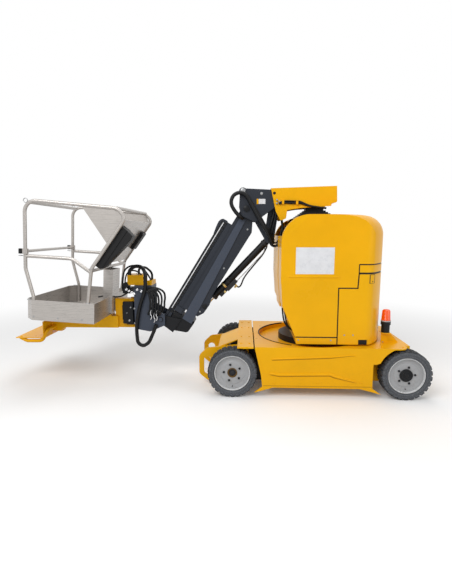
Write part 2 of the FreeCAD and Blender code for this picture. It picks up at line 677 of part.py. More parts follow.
cover_low = turret_bottom + 310
cover_kink = turret_bottom + 635
cover_front = -(turret_front + 4)
front_cover = profile("mast_front_sheet", "XZ",
                      [(cover_front + 26, cover_low), (cover_front, cover_kink), (cover_front, slot_top - 2),
                       (cover_front + 12, slot_top - 2), (cover_front + 12, cover_kink), (cover_front + 38, cover_low)],
                      (-(mast_slot_half - panel_line), mast_slot_half - panel_line))
cover_arm = box("mast_cover_arm", (cover_front + 11, -mast_half_depth), (-40, 40), (cover_kink, slot_top - 60))
node("mast_front_cover", fuse("mast_front_all", front_cover, cover_arm))

# ---------------------------------------------------------------- head

head_sheet = dim("head_sheet", 10)
bracket_thick = dim("bracket_thick", 20)
head_outline = [(-455, head_under + 10), (196, head_under + 30), (203, head_under - 128), (150, head_under - 140),
                (145, head_under - 165), (-162, head_under - 184), (-290, head_under - 204),
                (-300, head_under - 288), (-355, head_under - 310), (-405, head_under - 215)]
head_form = profile("head_form", "XZ", head_outline, (-head_half_width, head_half_width), [(18, (2, 7, 8))])
head_room = box("head_room", (-500, 185), (-(head_half_width - head_sheet), head_half_width - head_sheet),
                (head_under - 410, head_under))
head_back = box("head_back_wall", (-440, -428), (-(head_half_width - head_sheet - bracket_thick),
                head_half_width - head_sheet - bracket_thick), (head_under - 85, head_under + 5))
node("mast_head", fuse("mast_head_all", cut("head_shell", head_form, head_room), head_back))

bracket_inner = head_half_width - head_sheet - bracket_thick
pivot_x = -pivot_ahead
pivot_pin = dim("pivot_pin", 28)
pivot_boss = dim("pivot_boss", 75)
bracket_outline = [(-330, head_under - 2), (-470, head_under - 2), (pivot_x, head_under + 10),
                   (pivot_x - 66, head_under - 10), (pivot_x - pivot_boss, pivot_height + 10),
                   (pivot_x - 40, pivot_height - pivot_boss), (pivot_x + 88, pivot_height - 134),
                   (pivot_x + 279, pivot_height + 8), (-330, pivot_height + 28)]
bracket = profile("bracket_sheet", "XZ", bracket_outline, (-(bracket_inner + bracket_thick), -bracket_inner),
                  [(30, (3, 4, 5, 6))])
stub = rod("pivot_stub", "Y", (pivot_x, pivot_height), pivot_pin, (-(bracket_inner + bracket_thick + 12),
                                                                   -(jib_half_width - 12)))
tie_x_head = pivot_x - 36
tie_z_head = pivot_height + 177
link_bar = rod("link_bar", "Y", (tie_x_head, tie_z_head), 22, (-(bracket_inner + bracket_thick + 8),
                                                               bracket_inner + bracket_thick + 8))
bracket_pair = both_sides("bracket_pair", fuse("bracket_near", bracket, stub))
brace_x = pivot_x + 289
brace_z = pivot_height + 46
brace_bar = rod("brace_bar", "Y", (brace_x, brace_z), 22, (-(bracket_inner + 1), bracket_inner + 1))
node("head_bracket", fuse("head_bracket_all", bracket_pair, link_bar, brace_bar))

lever_ahead = dim("lever_ahead", 458)
lever_drop = dim("lever_drop", 303)
lever_x = -lever_ahead
lever_z = pivot_height - lever_drop
lever_half = dim("lever_half", 42)
lever_inner = dim("lever_inner", 50)
lever_thick = dim("lever_thick", 15)
reach_x = lever_x - tie_x_head
reach_z = tie_z_head - lever_z
lever_long = math.hypot(reach_x.value, reach_z.value)
lever_lean = math.degrees(math.atan2(reach_x.value, reach_z.value))
brace_half = dim("brace_half", 50)
strap_y = (-(lever_inner + lever_thick), -lever_inner)


def strap(name, long, half, end_hole):
    """Link plate standing up from its lower eye, with a bored upper eye."""
    bar = box(f"{name}_bar", (-half, half), strap_y, (as_size(0), as_size(long)))
    ends = [rod(f"{name}_end_{k}", "Y", (as_size(0), height), half, strap_y)
            for k, height in (("low", as_size(0)), ("top", as_size(long)))]
    hole = rod(f"{name}_hole", "Y", (as_size(0), as_size(long)), end_hole,
               (-(lever_inner + lever_thick + 1), -(lever_inner - 1)))
    return cut(f"{name}_cut", fuse(f"{name}_all", bar, *ends), hole)


brace_run = (brace_x - lever_x, brace_z - lever_z)
brace_long = math.hypot(brace_run[0].value, brace_run[1].value)
brace_lean = math.degrees(math.atan2(brace_run[0].value, brace_run[1].value))
lever_strap = strap("lever_strap", lever_long, lever_half, 22)
brace_strap = strap("brace_strap", brace_long, brace_half, 22)
brace_turned = doc.addObject("Part::Compound", "brace_turned")
brace_turned.Links = [brace_strap]
brace_turned.Placement = Placement(Vector(), Rotation(Vector(0, 1, 0), brace_lean + lever_lean))
node("rocker_lever", both_sides("lever_pair", fuse("lever_near", lever_strap, brace_turned)), (lever_x, 0, lever_z),
     -lever_lean)

# ---------------------------------------------------------------- jib, in its own level frame

jib_base = (pivot_x, 0, pivot_height)
jib_turn = -jib_angle
cheek = dim("cheek", 12)
cheek_end = dim("cheek_end", 1230)
band_sheet = dim("band_sheet", 9)
box_low = dim("box_low", 4)
box_high = dim("box_high", 88)
box_root = dim("box_root", 215)
box_wall = dim("box_wall", 6)
slide_play = dim("slide_play", 6)
inner_half = jib_half_width - box_wall - slide_play
ram_x = dim("ram_x", -1095)
ram_z = dim("ram_z", -164)
ram_boss = dim("ram_boss", 30)
cheek_outline = [(60, 45), (-240, 45), (-300, 30), (-cheek_end, 30), (-cheek_end, ram_z + 9), (ram_x - 70, ram_z - 28),
                 (ram_x + 40, ram_z - 36), (ram_x + 150, ram_z - 6), (-175, -175), (60, -50)]
cheek_sheet = profile("cheek_sheet", "XZ", cheek_outline, (-(jib_half_width + cheek), -jib_half_width),
                      [(30, (5, 6, 8)), (44, (0, 9))])
cheek_bore = rod("cheek_bore", "Y", (0, 0), pivot_pin + 0.5, (-(jib_half_width + cheek + 20), -(jib_half_width - 20)))
cheek_boss = rod("cheek_boss", "Y", (0, 0), 52, (-(jib_half_width + cheek + 6), -jib_half_width))
cheek_near = cut("cheek_near", fuse("cheek_bossed", cheek_sheet, cheek_boss), cheek_bore)
side_band = profile("side_band", "XZ", [(-110, 8), (-(jib_length + 30), -30), (-(jib_length + 30), -140), (-100, -52)],
                    (-(jib_half_width + cheek + band_sheet), -(jib_half_width + cheek)))
ram_hub = rod("ram_hub", "Y", (ram_x, ram_z), ram_boss, (-(jib_half_width + cheek + 4), -(jib_half_width / 2)))
tip_x = -(jib_length - 60)
boom = box("boom_outer", (-jib_length, -box_root), (-jib_half_width, jib_half_width), (box_low, box_high))
boom_room = box("boom_room", (-(jib_length + 1), -(box_root + 10)), (-(jib_half_width - box_wall),
                jib_half_width - box_wall), (box_low + box_wall, box_high - box_wall))
collar = box("boom_collar", (-jib_length, tip_x), (-(jib_half_width + 10), jib_half_width + 10),
             (box_low - 10, box_high + 4))
collar_room = box("collar_room", (-(jib_length + 1), tip_x + 1), (-(inner_half + pad_play), inner_half + pad_play),
                  (box_low + box_wall + slide_play - pad_play, box_high - box_wall - slide_play + pad_play))
hollow_boom = fuse("boom_body", cut("boom_shell", boom, boom_room), cut("collar_ring", collar, collar_room))
jib_sides = both_sides("jib_sides", fuse("jib_side_near", cheek_near, side_band, ram_hub))
node("jib_boom", fuse("jib_boom_all", hollow_boom, jib_sides), jib_base, jib_turn)

tray_low = dim("tray_low", 93)
tray_thick = dim("tray_thick", 32)
strip_low = dim("strip_low", 131)
strip_thick = dim("strip_thick", 24)
tray_root = dim("tray_root", 215)
tray_front = dim("tray_front", 1405)
tray_y = (-(jib_half_width - 5), jib_half_width - 5)
tray_body = box("tray_body", (-tray_front, -tray_root), tray_y, (tray_low, tray_low + tray_thick))
tray_strip = box("tray_strip", (-tray_front, -tray_root), tray_y, (strip_low, strip_low + strip_thick))
tray_web = box("tray_web", (-tray_front, -tray_root), (-60, 60), (tray_low + tray_thick - 1, strip_low + 1))
tray_feet = box("tray_feet", (-(jib_length - 110), -320), (-60, 60), (box_high, tray_low + 1))
node("chain_tray", fuse("chain_tray_all", tray_body, tray_strip, tray_web, tray_feet), jib_base, jib_turn)

neck_x = -jib_reach
neck_pin = dim("neck_pin", 20)
neck_boss = dim("neck_boss", 46)
neck_plate = dim("neck_plate", 14)
knuckle_end = jib_reach + 55
inner_boom = box("inner_boom", (-(jib_reach + 40), -(box_root + 70)), (-inner_half, inner_half),
                 (box_low + box_wall + slide_play, box_high - box_wall - slide_play))
knuckle_sheet = profile("jib_knuckle_block", "XZ",
                        [(-(jib_length + 12), box_high - 4), (-knuckle_end, box_high - 4), (-knuckle_end, 20),
                         (-(knuckle_end - 72), -156), (-(jib_length - 4), ram_z), (-(jib_length - 4), -60),
                         (-(jib_length + 12), -40)], (-(jib_half_width - 4), jib_half_width - 4),
                        [(40, (3,)), (30, (2, 4))])
neck_side = profile("neck_sheet", "XZ",
                    [(-(jib_length + 50), -20), (neck_x + 46, neck_rise), (neck_x, neck_rise + neck_boss),
                     (neck_x - 44, neck_rise), (-(jib_reach + 60), -20)],
                    (-(jib_half_width + neck_plate), -jib_half_width), [(40, (2,)), (20, (1, 3))])
neck_link = box("neck_link", (-(jib_reach + 50), -(jib_length + 60)), (-jib_half_width - 1, -(jib_half_width - 10)),
                (-20, box_high - 6))
neck_bore = rod("neck_bore", "Y", (neck_x, neck_rise), neck_pin + 0.5, (-200, 200))
inner_all = fuse("inner_all", inner_boom, knuckle_sheet, both_sides("necks", fuse("neck_near", neck_side, neck_link)))
node("jib_inner", cut("jib_inner_all", inner_all, neck_bore), jib_base, jib_turn)

# lift cylinder, in a frame that stands in the rocker's lower eye and has -X towards the jib's lower hubs
ram_radius = dim("ram_radius", 38)
ram_rod = dim("ram_rod", 20)
ram_eye = dim("ram_eye", 36)
ram_eye_half = dim("ram_eye_half", 34)
ram_pin = dim("ram_pin", 18)
barrel_long = dim("barrel_long", 850)
lift_foot_x = pivot_x + ram_x * cosine(jib_angle) - ram_z * sine(jib_angle)
lift_foot_z = pivot_height + ram_x * sine(jib_angle) + ram_z * cosine(jib_angle)
span_x = lever_x - lift_foot_x
span_z = lever_z - lift_foot_z
lift_long = math.hypot(span_x.value, span_z.value)
lift_lean = math.degrees(math.atan2(span_z.value, span_x.value))
lift_base = (lever_x, 0, lever_z)
eye_y = (-ram_eye_half, ram_eye_half)
pin_y = (-(ram_eye_half + 10), ram_eye_half + 10)
barrel = rod("lift_barrel_tube", "X", (0, 0), ram_radius, (-barrel_long, as_size(-40)))
barrel_neck = box("lift_barrel_neck", (as_size(-60), as_size(-10)), (-30, 30), (-30, 30))
barrel_body = fuse("lift_barrel_body", barrel, rod("lift_barrel_eye", "Y", (0, 0), ram_eye, eye_y), barrel_neck,
                   rod("lift_barrel_pin", "Y", (0, 0), ram_pin, pin_y))
rod_room = rod("lift_rod_room", "X", (0, 0), ram_rod + 1, (-(barrel_long + 1), as_size(-120)))
node("lift_cylinder_barrel", cut("lift_barrel_all", barrel_body, rod_room), lift_base, -lift_lean)
rod_bar = rod("lift_rod_bar", "X", (0, 0), ram_rod, (as_size(20 - lift_long), as_size(-140)))
rod_eye = rod("lift_rod_eye", "Y", (-lift_long, 0), ram_eye, eye_y)
rod_pin = rod("lift_rod_pin", "Y", (-lift_long, 0), ram_pin, pin_y)
node("lift_cylinder_rod", fuse("lift_rod_all", rod_bar, rod_eye, rod_pin), lift_base, -lift_lean)

# ---------------------------------------------------------------- levelling bracket and swing barrel

neck_world_x = pivot_x + neck_x * cosine(jib_angle) - neck_rise * sine(jib_angle)
neck_world_z = pivot_height + neck_x * sine(jib_angle) + neck_rise * cosine(jib_angle)
swing_x = -swing_ahead
upright_inner = dim("upright_inner", 124)
upright_plate = dim("upright_plate", 16)
upright_rise = dim("upright_rise", 326)
upright_drop = dim("upright_drop", 134)
swing_radius = dim("swing_radius", 50)
swing_rise = dim("swing_rise", 172)
swing_drop = dim("swing_drop", 76)
swing_pin = dim("swing_pin", 18)
upright_top = neck_world_z + upright_rise
upright_low = neck_world_z - upright_drop
barrel_low = neck_world_z - swing_drop
barrel_high = neck_world_z + swing_rise
upright_outline = [(swing_x + 55, upright_low + 30), (swing_x + 220, upright_low), (neck_world_x + 45, upright_low + 70),
                   (neck_world_x + 45, neck_world_z + 50), (swing_x + 240, neck_world_z + 130),
                   (swing_x + 240, upright_top), (swing_x + 55, upright_top)]
upright_side = profile("upright_sheet", "XZ", upright_outline, (-(upright_inner + upright_plate), -upright_inner),
                       [(30, (1, 2, 3, 5))])
web = box("upright_web", (swing_x + 55, swing_x + 70), (-(upright_inner + 1), upright_inner + 1),
          (upright_low + 30, upright_top))
saddle = box("barrel_saddle", (swing_x + 30, swing_x + 56), (-38, 38), (barrel_low + 12, barrel_high - 14))
valve_plate = dim("valve_plate", 36)
valve_low = upright_top + valve_plate
valve_block = box("valve_block_body", (swing_x + 55, swing_x + 240), (-120, 120), (upright_top, valve_low))
neck_rod = rod("neck_pin_rod", "Y", (neck_world_x, neck_world_z), neck_pin, (-152, 152))
upright_body = fuse("upright_body", both_sides("upright_pair", upright_side), web, saddle, valve_block, neck_rod)
node("basket_upright", cut("upright_all", upright_body, rod("saddle_room", "Z", (swing_x, 0), swing_radius,
                                                            (barrel_low, barrel_high))))
node("swing_barrel", cut("swing_barrel_all", rod("swing_body", "Z", (swing_x, 0), swing_radius, (barrel_low, barrel_high)),
                         rod("swing_bore", "Z", (swing_x, 0), swing_pin + 0.5, (barrel_low - 1, barrel_high + 1))))
cover_big = dim("cover_big", 108)
cover_small = dim("cover_small", 48)
valve_big = box("valve_cover_big", (swing_x - 25, swing_x + 146), (-95, 95), (valve_low, valve_low + cover_big))
valve_small = box("valve_cover_small", (swing_x + 190, swing_x + 240), (-95, 95), (valve_low, valve_low + cover_small))
node("valve_covers", fuse("valve_covers_all", valve_big, valve_small))

# ---------------------------------------------------------------- support arm, step and basket

lug_thick = dim("lug_thick", 30)
lug_gap = dim("lug_gap", 6)
arm_half = dim("arm_half", 44)
arm_low = barrel_low - lug_gap - lug_thick
arm_high = barrel_high + lug_gap + lug_thick
lug_low = box("arm_lug_low", (swing_x - 170, swing_x), (-arm_half, arm_half), (arm_low, arm_low + lug_thick))
lug_top = box("arm_lug_high", (swing_x - 170, swing_x), (-arm_half, arm_half), (arm_high - lug_thick, arm_high))
boss_low = rod("arm_boss_low", "Z", (swing_x, 0), arm_half, (arm_low, arm_low + lug_thick))
boss_top = rod("arm_boss_high", "Z", (swing_x, 0), arm_half, (arm_high - lug_thick, arm_high))
arm_pin = rod("arm_pin", "Z", (swing_x, 0), swing_pin, (arm_low, arm_high + 12))
arm_block = box("arm_block", (swing_x - 182, swing_x - 60), (-arm_half, arm_half), (arm_low, arm_high))
basket_x = -basket_back
basket_floor = neck_world_z + basket_rise
slope = Size(math.tan(math.radians(basket_tilt.value)), f"tan({basket_tilt.text})")
under_tip = dim("under_tip", 760)
under_half = dim("under_half", 70)
under_end = basket_x - under_tip
tray_end = basket_length - 8
under = profile("under_arm", "XZ",
                [(swing_x - 150, arm_low), (swing_x - 150, basket_floor - 20), (basket_x + 2, basket_floor - 20),
                 (basket_x, basket_floor), (basket_x - tray_end, basket_floor + slope * tray_end),
                 (under_end + 24, basket_floor - 60), (under_end, basket_floor - 100), (under_end, basket_floor - 150),
                 (under_end + 70, basket_floor - 188), (under_end + 190, basket_floor - 188),
                 (under_end + 250, basket_floor - 150)], (-under_half, under_half), [(16, (8, 9))])
node("support_arm", fuse("support_arm_all", lug_low, lug_top, boss_low, boss_top, arm_pin, arm_block, under))

step_half = dim("step_half", 275)
step_tube = dim("step_tube", 18)
step_sheet = dim("step_sheet", 8)
step_back = dim("step_back", -2825)
step_tip = -step_reach
step_low = basket_floor - 224
loop_y = step_half - step_tube - 7
hanger_x = under_end + 130
step_plate = box("step_plate_body", (step_tip, step_back), (-step_half, step_half), (step_low, step_low + step_sheet))
step_wall = box("step_wall_body", (step_back - 6, step_back), (-step_half, -(under_half + 8)), (step_low, step_low + 180))
step_hanger = box("step_hanger_body", (under_end - 8, under_end), (-(under_half - 10), under_half - 10),
                  (step_low, basket_floor - 120))
loops = [tube(f"step_loop_{k}",
              [(hanger_x, under_half * k, basket_floor - 140), (hanger_x, loop_y * k, basket_floor - 140),
               (under_end + 75, loop_y * k, basket_floor - 255), (step_tip + 110, loop_y * k, basket_floor - 257),
               (step_tip + 40, loop_y * k, step_low + 2)], step_tube, 60)
         for k in (-1, 1)]
node("entry_step", fuse("entry_step_all", step_plate, both_sides("step_walls", step_wall), step_hanger, *loops))

sheet_metal = dim("sheet_metal", 4)
corner_cut = dim("corner_cut", 80)
half_basket = basket_width / 2
basket_base = (basket_x, 0, basket_floor)


def tray_form(name, inset, span):
    """Tray outline with its two outer corners cut off, drawn in by `inset`."""
    left, side, nip = -(basket_length - inset), half_basket - inset, corner_cut - inset * 0.4
    return profile(name, "XY", [(-inset, -side), (-inset, side), (left + nip, side), (left, side - nip),
                                (left, -(side - nip)), (left + nip, -side)], span)


tray = tray_form("basket_outer", as_size(0), (as_size(0), toe_height))
tray_room = tray_form("basket_inner", sheet_metal, (sheet_metal, toe_height + 1))

rail_y = half_basket - sheet_metal - rail_radius
post_x = -(basket_length - 15)
foot_x = -(basket_length - 93)
leg_x = dim("leg_x", -70)
nose_x = dim("nose_x", 280)
rail_x = dim("rail_x", 202)
rail_fall = dim("rail_fall", 30)
slope_fall = dim("slope_fall", 116)
slope_angle = dim("slope_angle", 57.22)
slope_long = dim("slope_long", 591)
mid_height = dim("mid_height", 622)
bend_radius = dim("bend_radius", 110)
top_z = basket_height


def on_slope(down, proud):
    """Place on the sloped console tube: distance down it and distance out of it."""
    return (nose_x - down * cosine(slope_angle) + proud * sine(slope_angle),
            top_z - slope_fall - down * sine(slope_angle) - proud * cosine(slope_angle))


elbow_x, elbow_z = on_slope(slope_long, as_size(0))


def rail_frame(side):
    """One side's bent tube: entry post, top rail, sloped console tube and rear post."""
    y = rail_y * side
    points = [(foot_x, y, sheet_metal), (foot_x, y, toe_height + 20), (post_x, y, 500), (post_x, y, top_z),
              (rail_x, y, top_z - rail_fall), (nose_x, y, top_z - slope_fall), (elbow_x, y, elbow_z),
              (leg_x, y, toe_height), (leg_x, y, sheet_metal)]
    return tube(f"rail_frame_{side}", points, rail_radius, bend_radius)


def mid_rail(side):
    y = rail_y * side
    return tube(f"mid_rail_{side}", [(post_x, y, mid_height), (-230, y, mid_height), (elbow_x, y, elbow_z - 40)],
                rail_radius, bend_radius)


frames = [rail_frame(-1), rail_frame(1), mid_rail(-1), mid_rail(1)]
cross_places = ((post_x + 48, top_z - 20), (rail_x, top_z - rail_fall), (elbow_x, elbow_z - 20))
cross = [tube(f"cross_rail_{index}", [(x, -rail_y, z), (x, rail_y, z)], rail_radius)
         for index, (x, z) in enumerate(cross_places)]
gusset = profile("gusset_sheet", "XZ", [(-146, top_z - 19), (rail_x, top_z - rail_fall), (255, top_z - 145),
                                        (112, top_z - 372)], (-(rail_y + 2), -(rail_y - 2)))
node("basket_rails", fuse("basket_rails_all", *frames, *cross, both_sides("gusset_pair", gusset)),
     basket_base, basket_tilt)

panel_half = dim("panel_half", 3)
panel = profile("console_sheet", "XZ",
                [on_slope(as_size(20), -panel_half), on_slope(as_size(20), panel_half),
                 on_slope(slope_long - 31, panel_half), on_slope(slope_long - 31, -panel_half)],
                (-(rail_y - rail_radius), rail_y - rail_radius))
node("console_panel", panel, basket_base, basket_tilt)


def console_case(name, start, end, thick, span):
    """Plastic case on the outer face of the console panel."""
    return profile(name, "XZ", [on_slope(as_size(start), panel_half), on_slope(as_size(start), panel_half + thick),
                                on_slope(as_size(end), panel_half + thick), on_slope(as_size(end), panel_half)],
                   span, [(12, (1, 2))])


node("console_box", fuse("console_cases", console_case("console_case", 90, 550, 70, (-(rail_y - 20), -(rail_y - 150))),
                         console_case("console_case_small", 150, 380, 40, (rail_y - 200, rail_y - 60))),
     basket_base, basket_tilt)
stay = cut("stay_tube", box("stay_outer", (as_size(-68), as_size(32)), (-120, 120), (as_size(30), as_size(494))),
           box("stay_inner", (as_size(-62), as_size(26)), (-114, 114), (as_size(29), as_size(495))))
node("basket_tray", fuse("basket_tray_all", cut("basket_pan", tray, tray_room), stay), basket_base, basket_tilt)

sleeve_low = dim("sleeve_low", 641)
sleeve_long = dim("sleeve_long", 50)
sleeves = [cut(f"sleeve_{k}", rod(f"sleeve_out_{k}", "Z", (post_x, rail_y * k), rail_radius + 12,
                                  (sleeve_low, sleeve_low + sleeve_long)),
               rod(f"sleeve_in_{k}", "Z", (post_x, rail_y * k), rail_radius + pad_play,
                   (sleeve_low - 1, sleeve_low + sleeve_long + 1)))
           for k in (-1, 1)]
entry_half = rail_y - rail_radius - 8
entry_level = sleeve_low + sleeve_long / 2
entry = tube("entry_tube", [(post_x, -entry_half, entry_level), (post_x, entry_half, entry_level)], rail_radius - 3)
node("entry_bar", fuse("entry_bar_all", *sleeves, entry), basket_base, basket_tilt)

# ---------------------------------------------------------------- hoses

hose_radius = dim("hose_radius", 19)
thin_hose = dim("thin_hose", 12)
side_y = -(upright_inner + upright_plate + hose_radius)
cover_top = valve_low + cover_big + seat
node("upright_hose", tube("upright_hose_tube",
                          [(swing_x - 4, -76, cover_top), (swing_x - 4, -76, cover_top + 46),
                           (swing_x + 60, -100, cover_top + 98), (swing_x + 150, -130, cover_top + 92),
                           (swing_x + 190, side_y, cover_top + 20), (swing_x + 183, side_y, upright_top - 5),
                           (swing_x + 120, side_y, upright_top - 166), (swing_x + 74, side_y, upright_low + 56),
                           (swing_x + 84, side_y, upright_low - 120), (swing_x + 140, side_y, upright_low - 158),
                           (swing_x + 205, side_y, upright_low - 120), (swing_x + 261, side_y, upright_low + 3),
                           (swing_x + 290, side_y, upright_low + 80)], hose_radius))
node("valve_hose", tube("valve_hose_tube", [(swing_x + 70, 30, cover_top), (swing_x + 70, 30, cover_top + 60),
                                            (swing_x + 140, 30, cover_top + 80), (swing_x + 215, 30, cover_top + 16),
                                            (swing_x + 215, 30, valve_low + cover_small + seat)], thin_hose))
head_y = -(head_half_width + thin_hose)
node("head_hose", tube("head_hose_tube", [(-420, head_y, head_under - 80), (-330, head_y, head_under - 110),
                                          (-200, head_y, head_under - 105), (-60, head_y, head_under - 135),
                                          (60, head_y, head_under - 150)], thin_hose))

# ---------------------------------------------------------------- checks and output

doc.recompute()
faults = [f"{item.Label} {item.State}" for item in doc.Objects if "Invalid" in item.State or "Error" in item.State]
for item in nodes:
    if item.Shape.isNull() or not item.Shape.isValid() or not item.Shape.Solids:
        faults.append(f"{item.Label} has no valid shape")
if faults:
    raise RuntimeError("; ".join(faults))

os.makedirs("parts", exist_ok=True)
for item in nodes:
    item.Shape.exportStep(f"parts/{item.Label}.step")
    extent = item.Shape.BoundBox
    print(f"{item.Label:24s} {len(item.Shape.Solids)} {item.Shape.Volume / 1e9:8.4f} "
          f"X {extent.XMin:7.0f} {extent.XMax:6.0f} Y {extent.YMin:5.0f} {extent.YMax:5.0f} "
          f"Z {extent.ZMin:5.0f} {extent.ZMax:5.0f}")
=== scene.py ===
"""Finishes and fine pieces of a vertical mast lift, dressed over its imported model."""

import json
import math

import bmesh
import bpy
from bpy.props import FloatProperty, FloatVectorProperty, IntProperty, PointerProperty
from mathutils import Matrix, Vector

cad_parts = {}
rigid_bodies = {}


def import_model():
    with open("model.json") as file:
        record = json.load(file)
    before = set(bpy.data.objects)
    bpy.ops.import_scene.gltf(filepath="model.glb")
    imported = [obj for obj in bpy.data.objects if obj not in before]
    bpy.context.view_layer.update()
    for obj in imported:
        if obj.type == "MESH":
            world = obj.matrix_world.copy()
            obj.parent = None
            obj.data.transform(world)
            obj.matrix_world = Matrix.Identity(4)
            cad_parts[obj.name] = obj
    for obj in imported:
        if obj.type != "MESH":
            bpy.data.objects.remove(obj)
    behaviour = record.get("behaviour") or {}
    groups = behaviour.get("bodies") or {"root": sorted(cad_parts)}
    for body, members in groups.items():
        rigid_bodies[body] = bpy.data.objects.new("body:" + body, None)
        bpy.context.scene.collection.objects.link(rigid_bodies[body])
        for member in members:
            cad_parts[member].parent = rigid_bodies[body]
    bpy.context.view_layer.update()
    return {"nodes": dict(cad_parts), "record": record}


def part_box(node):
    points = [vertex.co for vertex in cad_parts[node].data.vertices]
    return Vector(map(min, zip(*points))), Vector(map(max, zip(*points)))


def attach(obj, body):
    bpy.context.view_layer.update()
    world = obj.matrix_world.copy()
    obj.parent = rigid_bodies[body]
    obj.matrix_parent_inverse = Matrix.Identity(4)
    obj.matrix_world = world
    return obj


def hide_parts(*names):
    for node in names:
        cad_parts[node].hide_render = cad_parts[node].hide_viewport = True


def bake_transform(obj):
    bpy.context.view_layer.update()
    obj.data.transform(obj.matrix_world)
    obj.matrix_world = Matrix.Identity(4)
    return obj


bl_info = {
    "name": "Mast Lift Dressing",
    "version": (1, 0, 0),
    "blender": (4, 5, 0),
    "location": "View3D > Sidebar > Mast Lift",
    "description": "Finishes and fine pieces of a vertical mast lift",
    "category": "Object",
}

for leftover in list(bpy.data.objects):
    bpy.data.objects.remove(leftover)
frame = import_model()


def linear(text):
    """The linear colour of an sRGB hex text such as '#F0B00C'."""
    parts = [int(text[i:i + 2], 16) / 255 for i in (1, 3, 5)]
    return tuple(c / 12.92 if c <= 0.04045 else ((c + 0.055) / 1.055) ** 2.4 for c in parts)


# ---------------------------------------------------------------- sizes and colours


class LiftSizes(bpy.types.PropertyGroup):
    """Sizes of the fine pieces, in metres."""

    tread_lugs: IntProperty(name="Tread lugs", description="Shoulder lugs round one tyre", default=26, min=8)
    tread_depth: FloatProperty(name="Tread depth", description="Depth of the cuts between shoulder lugs",
                               default=0.010, unit="LENGTH")
    nut_circle: FloatProperty(name="Nut circle", description="Radius on which the wheel nuts stand",
                              default=0.082, unit="LENGTH")
    sheet_edge: FloatProperty(name="Sheet edge", description="Radius of the soft edge on painted plates",
                              default=0.002, unit="LENGTH")
    gap_width: FloatProperty(name="Panel gap", description="Width of the gap between cover panels",
                             default=0.012, unit="LENGTH")
    link_pitch: FloatProperty(name="Link pitch", description="Spacing of the cable chain's links",
                              default=0.045, unit="LENGTH")


class LiftColours(bpy.types.PropertyGroup):
    """Colours of the finishes."""

    yellow: FloatVectorProperty(name="Yellow", description="Enamel on covers and frame", subtype="COLOR",
                                default=linear("#EDAC08"), min=0, max=1)
    charcoal: FloatVectorProperty(name="Charcoal", description="Enamel on the mast and jib", subtype="COLOR",
                                  default=linear("#2A2E36"), min=0, max=1)
    stainless: FloatVectorProperty(name="Stainless", description="Basket tube and sheet", subtype="COLOR",
                                   default=linear("#B4AFAA"), min=0, max=1)
    rubber: FloatVectorProperty(name="Tyre rubber", description="Grey solid tyre compound", subtype="COLOR",
                                default=linear("#505358"), min=0, max=1)
    rim: FloatVectorProperty(name="Rim paint", description="Silver enamel on the wheel discs",
                             subtype="COLOR",
                             default=linear("#A3A4A6"), min=0, max=1)


# ---------------------------------------------------------------- places


def joint_place(name):
    """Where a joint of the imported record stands, in the row frame."""
    joints = frame["record"]["behaviour"]["joints"]
    return next(Vector(joint["pos_m"]) for joint in joints if joint["name"] == name)


UP = (0, 0, 1)
SLEW_X = sum(corner.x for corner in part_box("slew_ring")) / 2
WHEEL_FACE = -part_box("tyre_front_near")[0].y
WHEEL_WIDTH = WHEEL_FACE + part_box("tyre_front_near")[1].y
SIDE = -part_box("chassis_frame")[0].y
COVER = -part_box("turret_cover")[0].y
JIB_PIN = joint_place("jib_lift")
NECK_PIN = joint_place("neck_level")
RAM_TOP = joint_place("lift_barrel_pivot")
ROD_EYE = 0.036
rod_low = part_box("lift_cylinder_rod")[0]
RAM_AXIS = (Vector((rod_low.x + ROD_EYE, 0, rod_low.z + ROD_EYE)) - RAM_TOP).normalized()
JIB_ANGLE = math.radians(58.3)
BASKET_TILT = math.radians(3.4)
BASKET_REACH = 0.23
CONSOLE_SLOPE = math.radians(57.22)
JIB = Matrix.Translation(JIB_PIN) @ Matrix.Rotation(-JIB_ANGLE, 4, "Y")
RAM = Matrix.Translation(RAM_TOP) @ RAM_AXIS.to_track_quat("X", "Y").to_matrix().to_4x4()
basket_floor = Vector((joint_place("basket_swing").x - BASKET_REACH, 0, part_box("basket_tray")[0].z))
BASKET = Matrix.Translation(basket_floor) @ Matrix.Rotation(BASKET_TILT, 4, "Y")


def mid(x, y, z):
    """Point given from the middle of the wheelbase, in the row frame."""
    return Vector((x + SLEW_X, y, z))


def mids(*places):
    return [mid(*place) for place in places]


def stood(at, axis):
    """Placement with its origin at a point and its Z along an axis."""
    return Matrix.Translation(Vector(at)) @ Vector(axis).to_track_quat("Z", "Y").to_matrix().to_4x4()


def facing(x, y, z, side):
    """Placement on one side's upright face, with its Z pointing out of it."""
    return stood(mid(x, side * y, z), (0, side, 0))


def on_edge(y, place=Matrix()):
    """Placement that stands an outline upright; the plate on it grows from `y` towards the near side."""
    return place @ Matrix.Translation((0, y, 0)) @ Matrix.Rotation(math.pi / 2, 4, "X")


def layer(side, first, second):
    """Both faces of a layer on one side, the lower one first."""
    return sorted((side * first, side * second))


def arc(radius, angles, centre=(0.0, 0.0), side=1):
    """Plan points on an arc."""
    return [(centre[0] + radius * math.cos(a), side * (centre[1] + radius * math.sin(a))) for a in angles]


# ---------------------------------------------------------------- building blocks


def block(bm, low, high, place=Matrix()):
    """Block between two corners."""
    low, high = Vector(low), Vector(high)
    size = Matrix.Diagonal((*(high - low), 1))
    bmesh.ops.create_cube(bm, size=1, matrix=place @ Matrix.Translation((low + high) / 2) @ size)


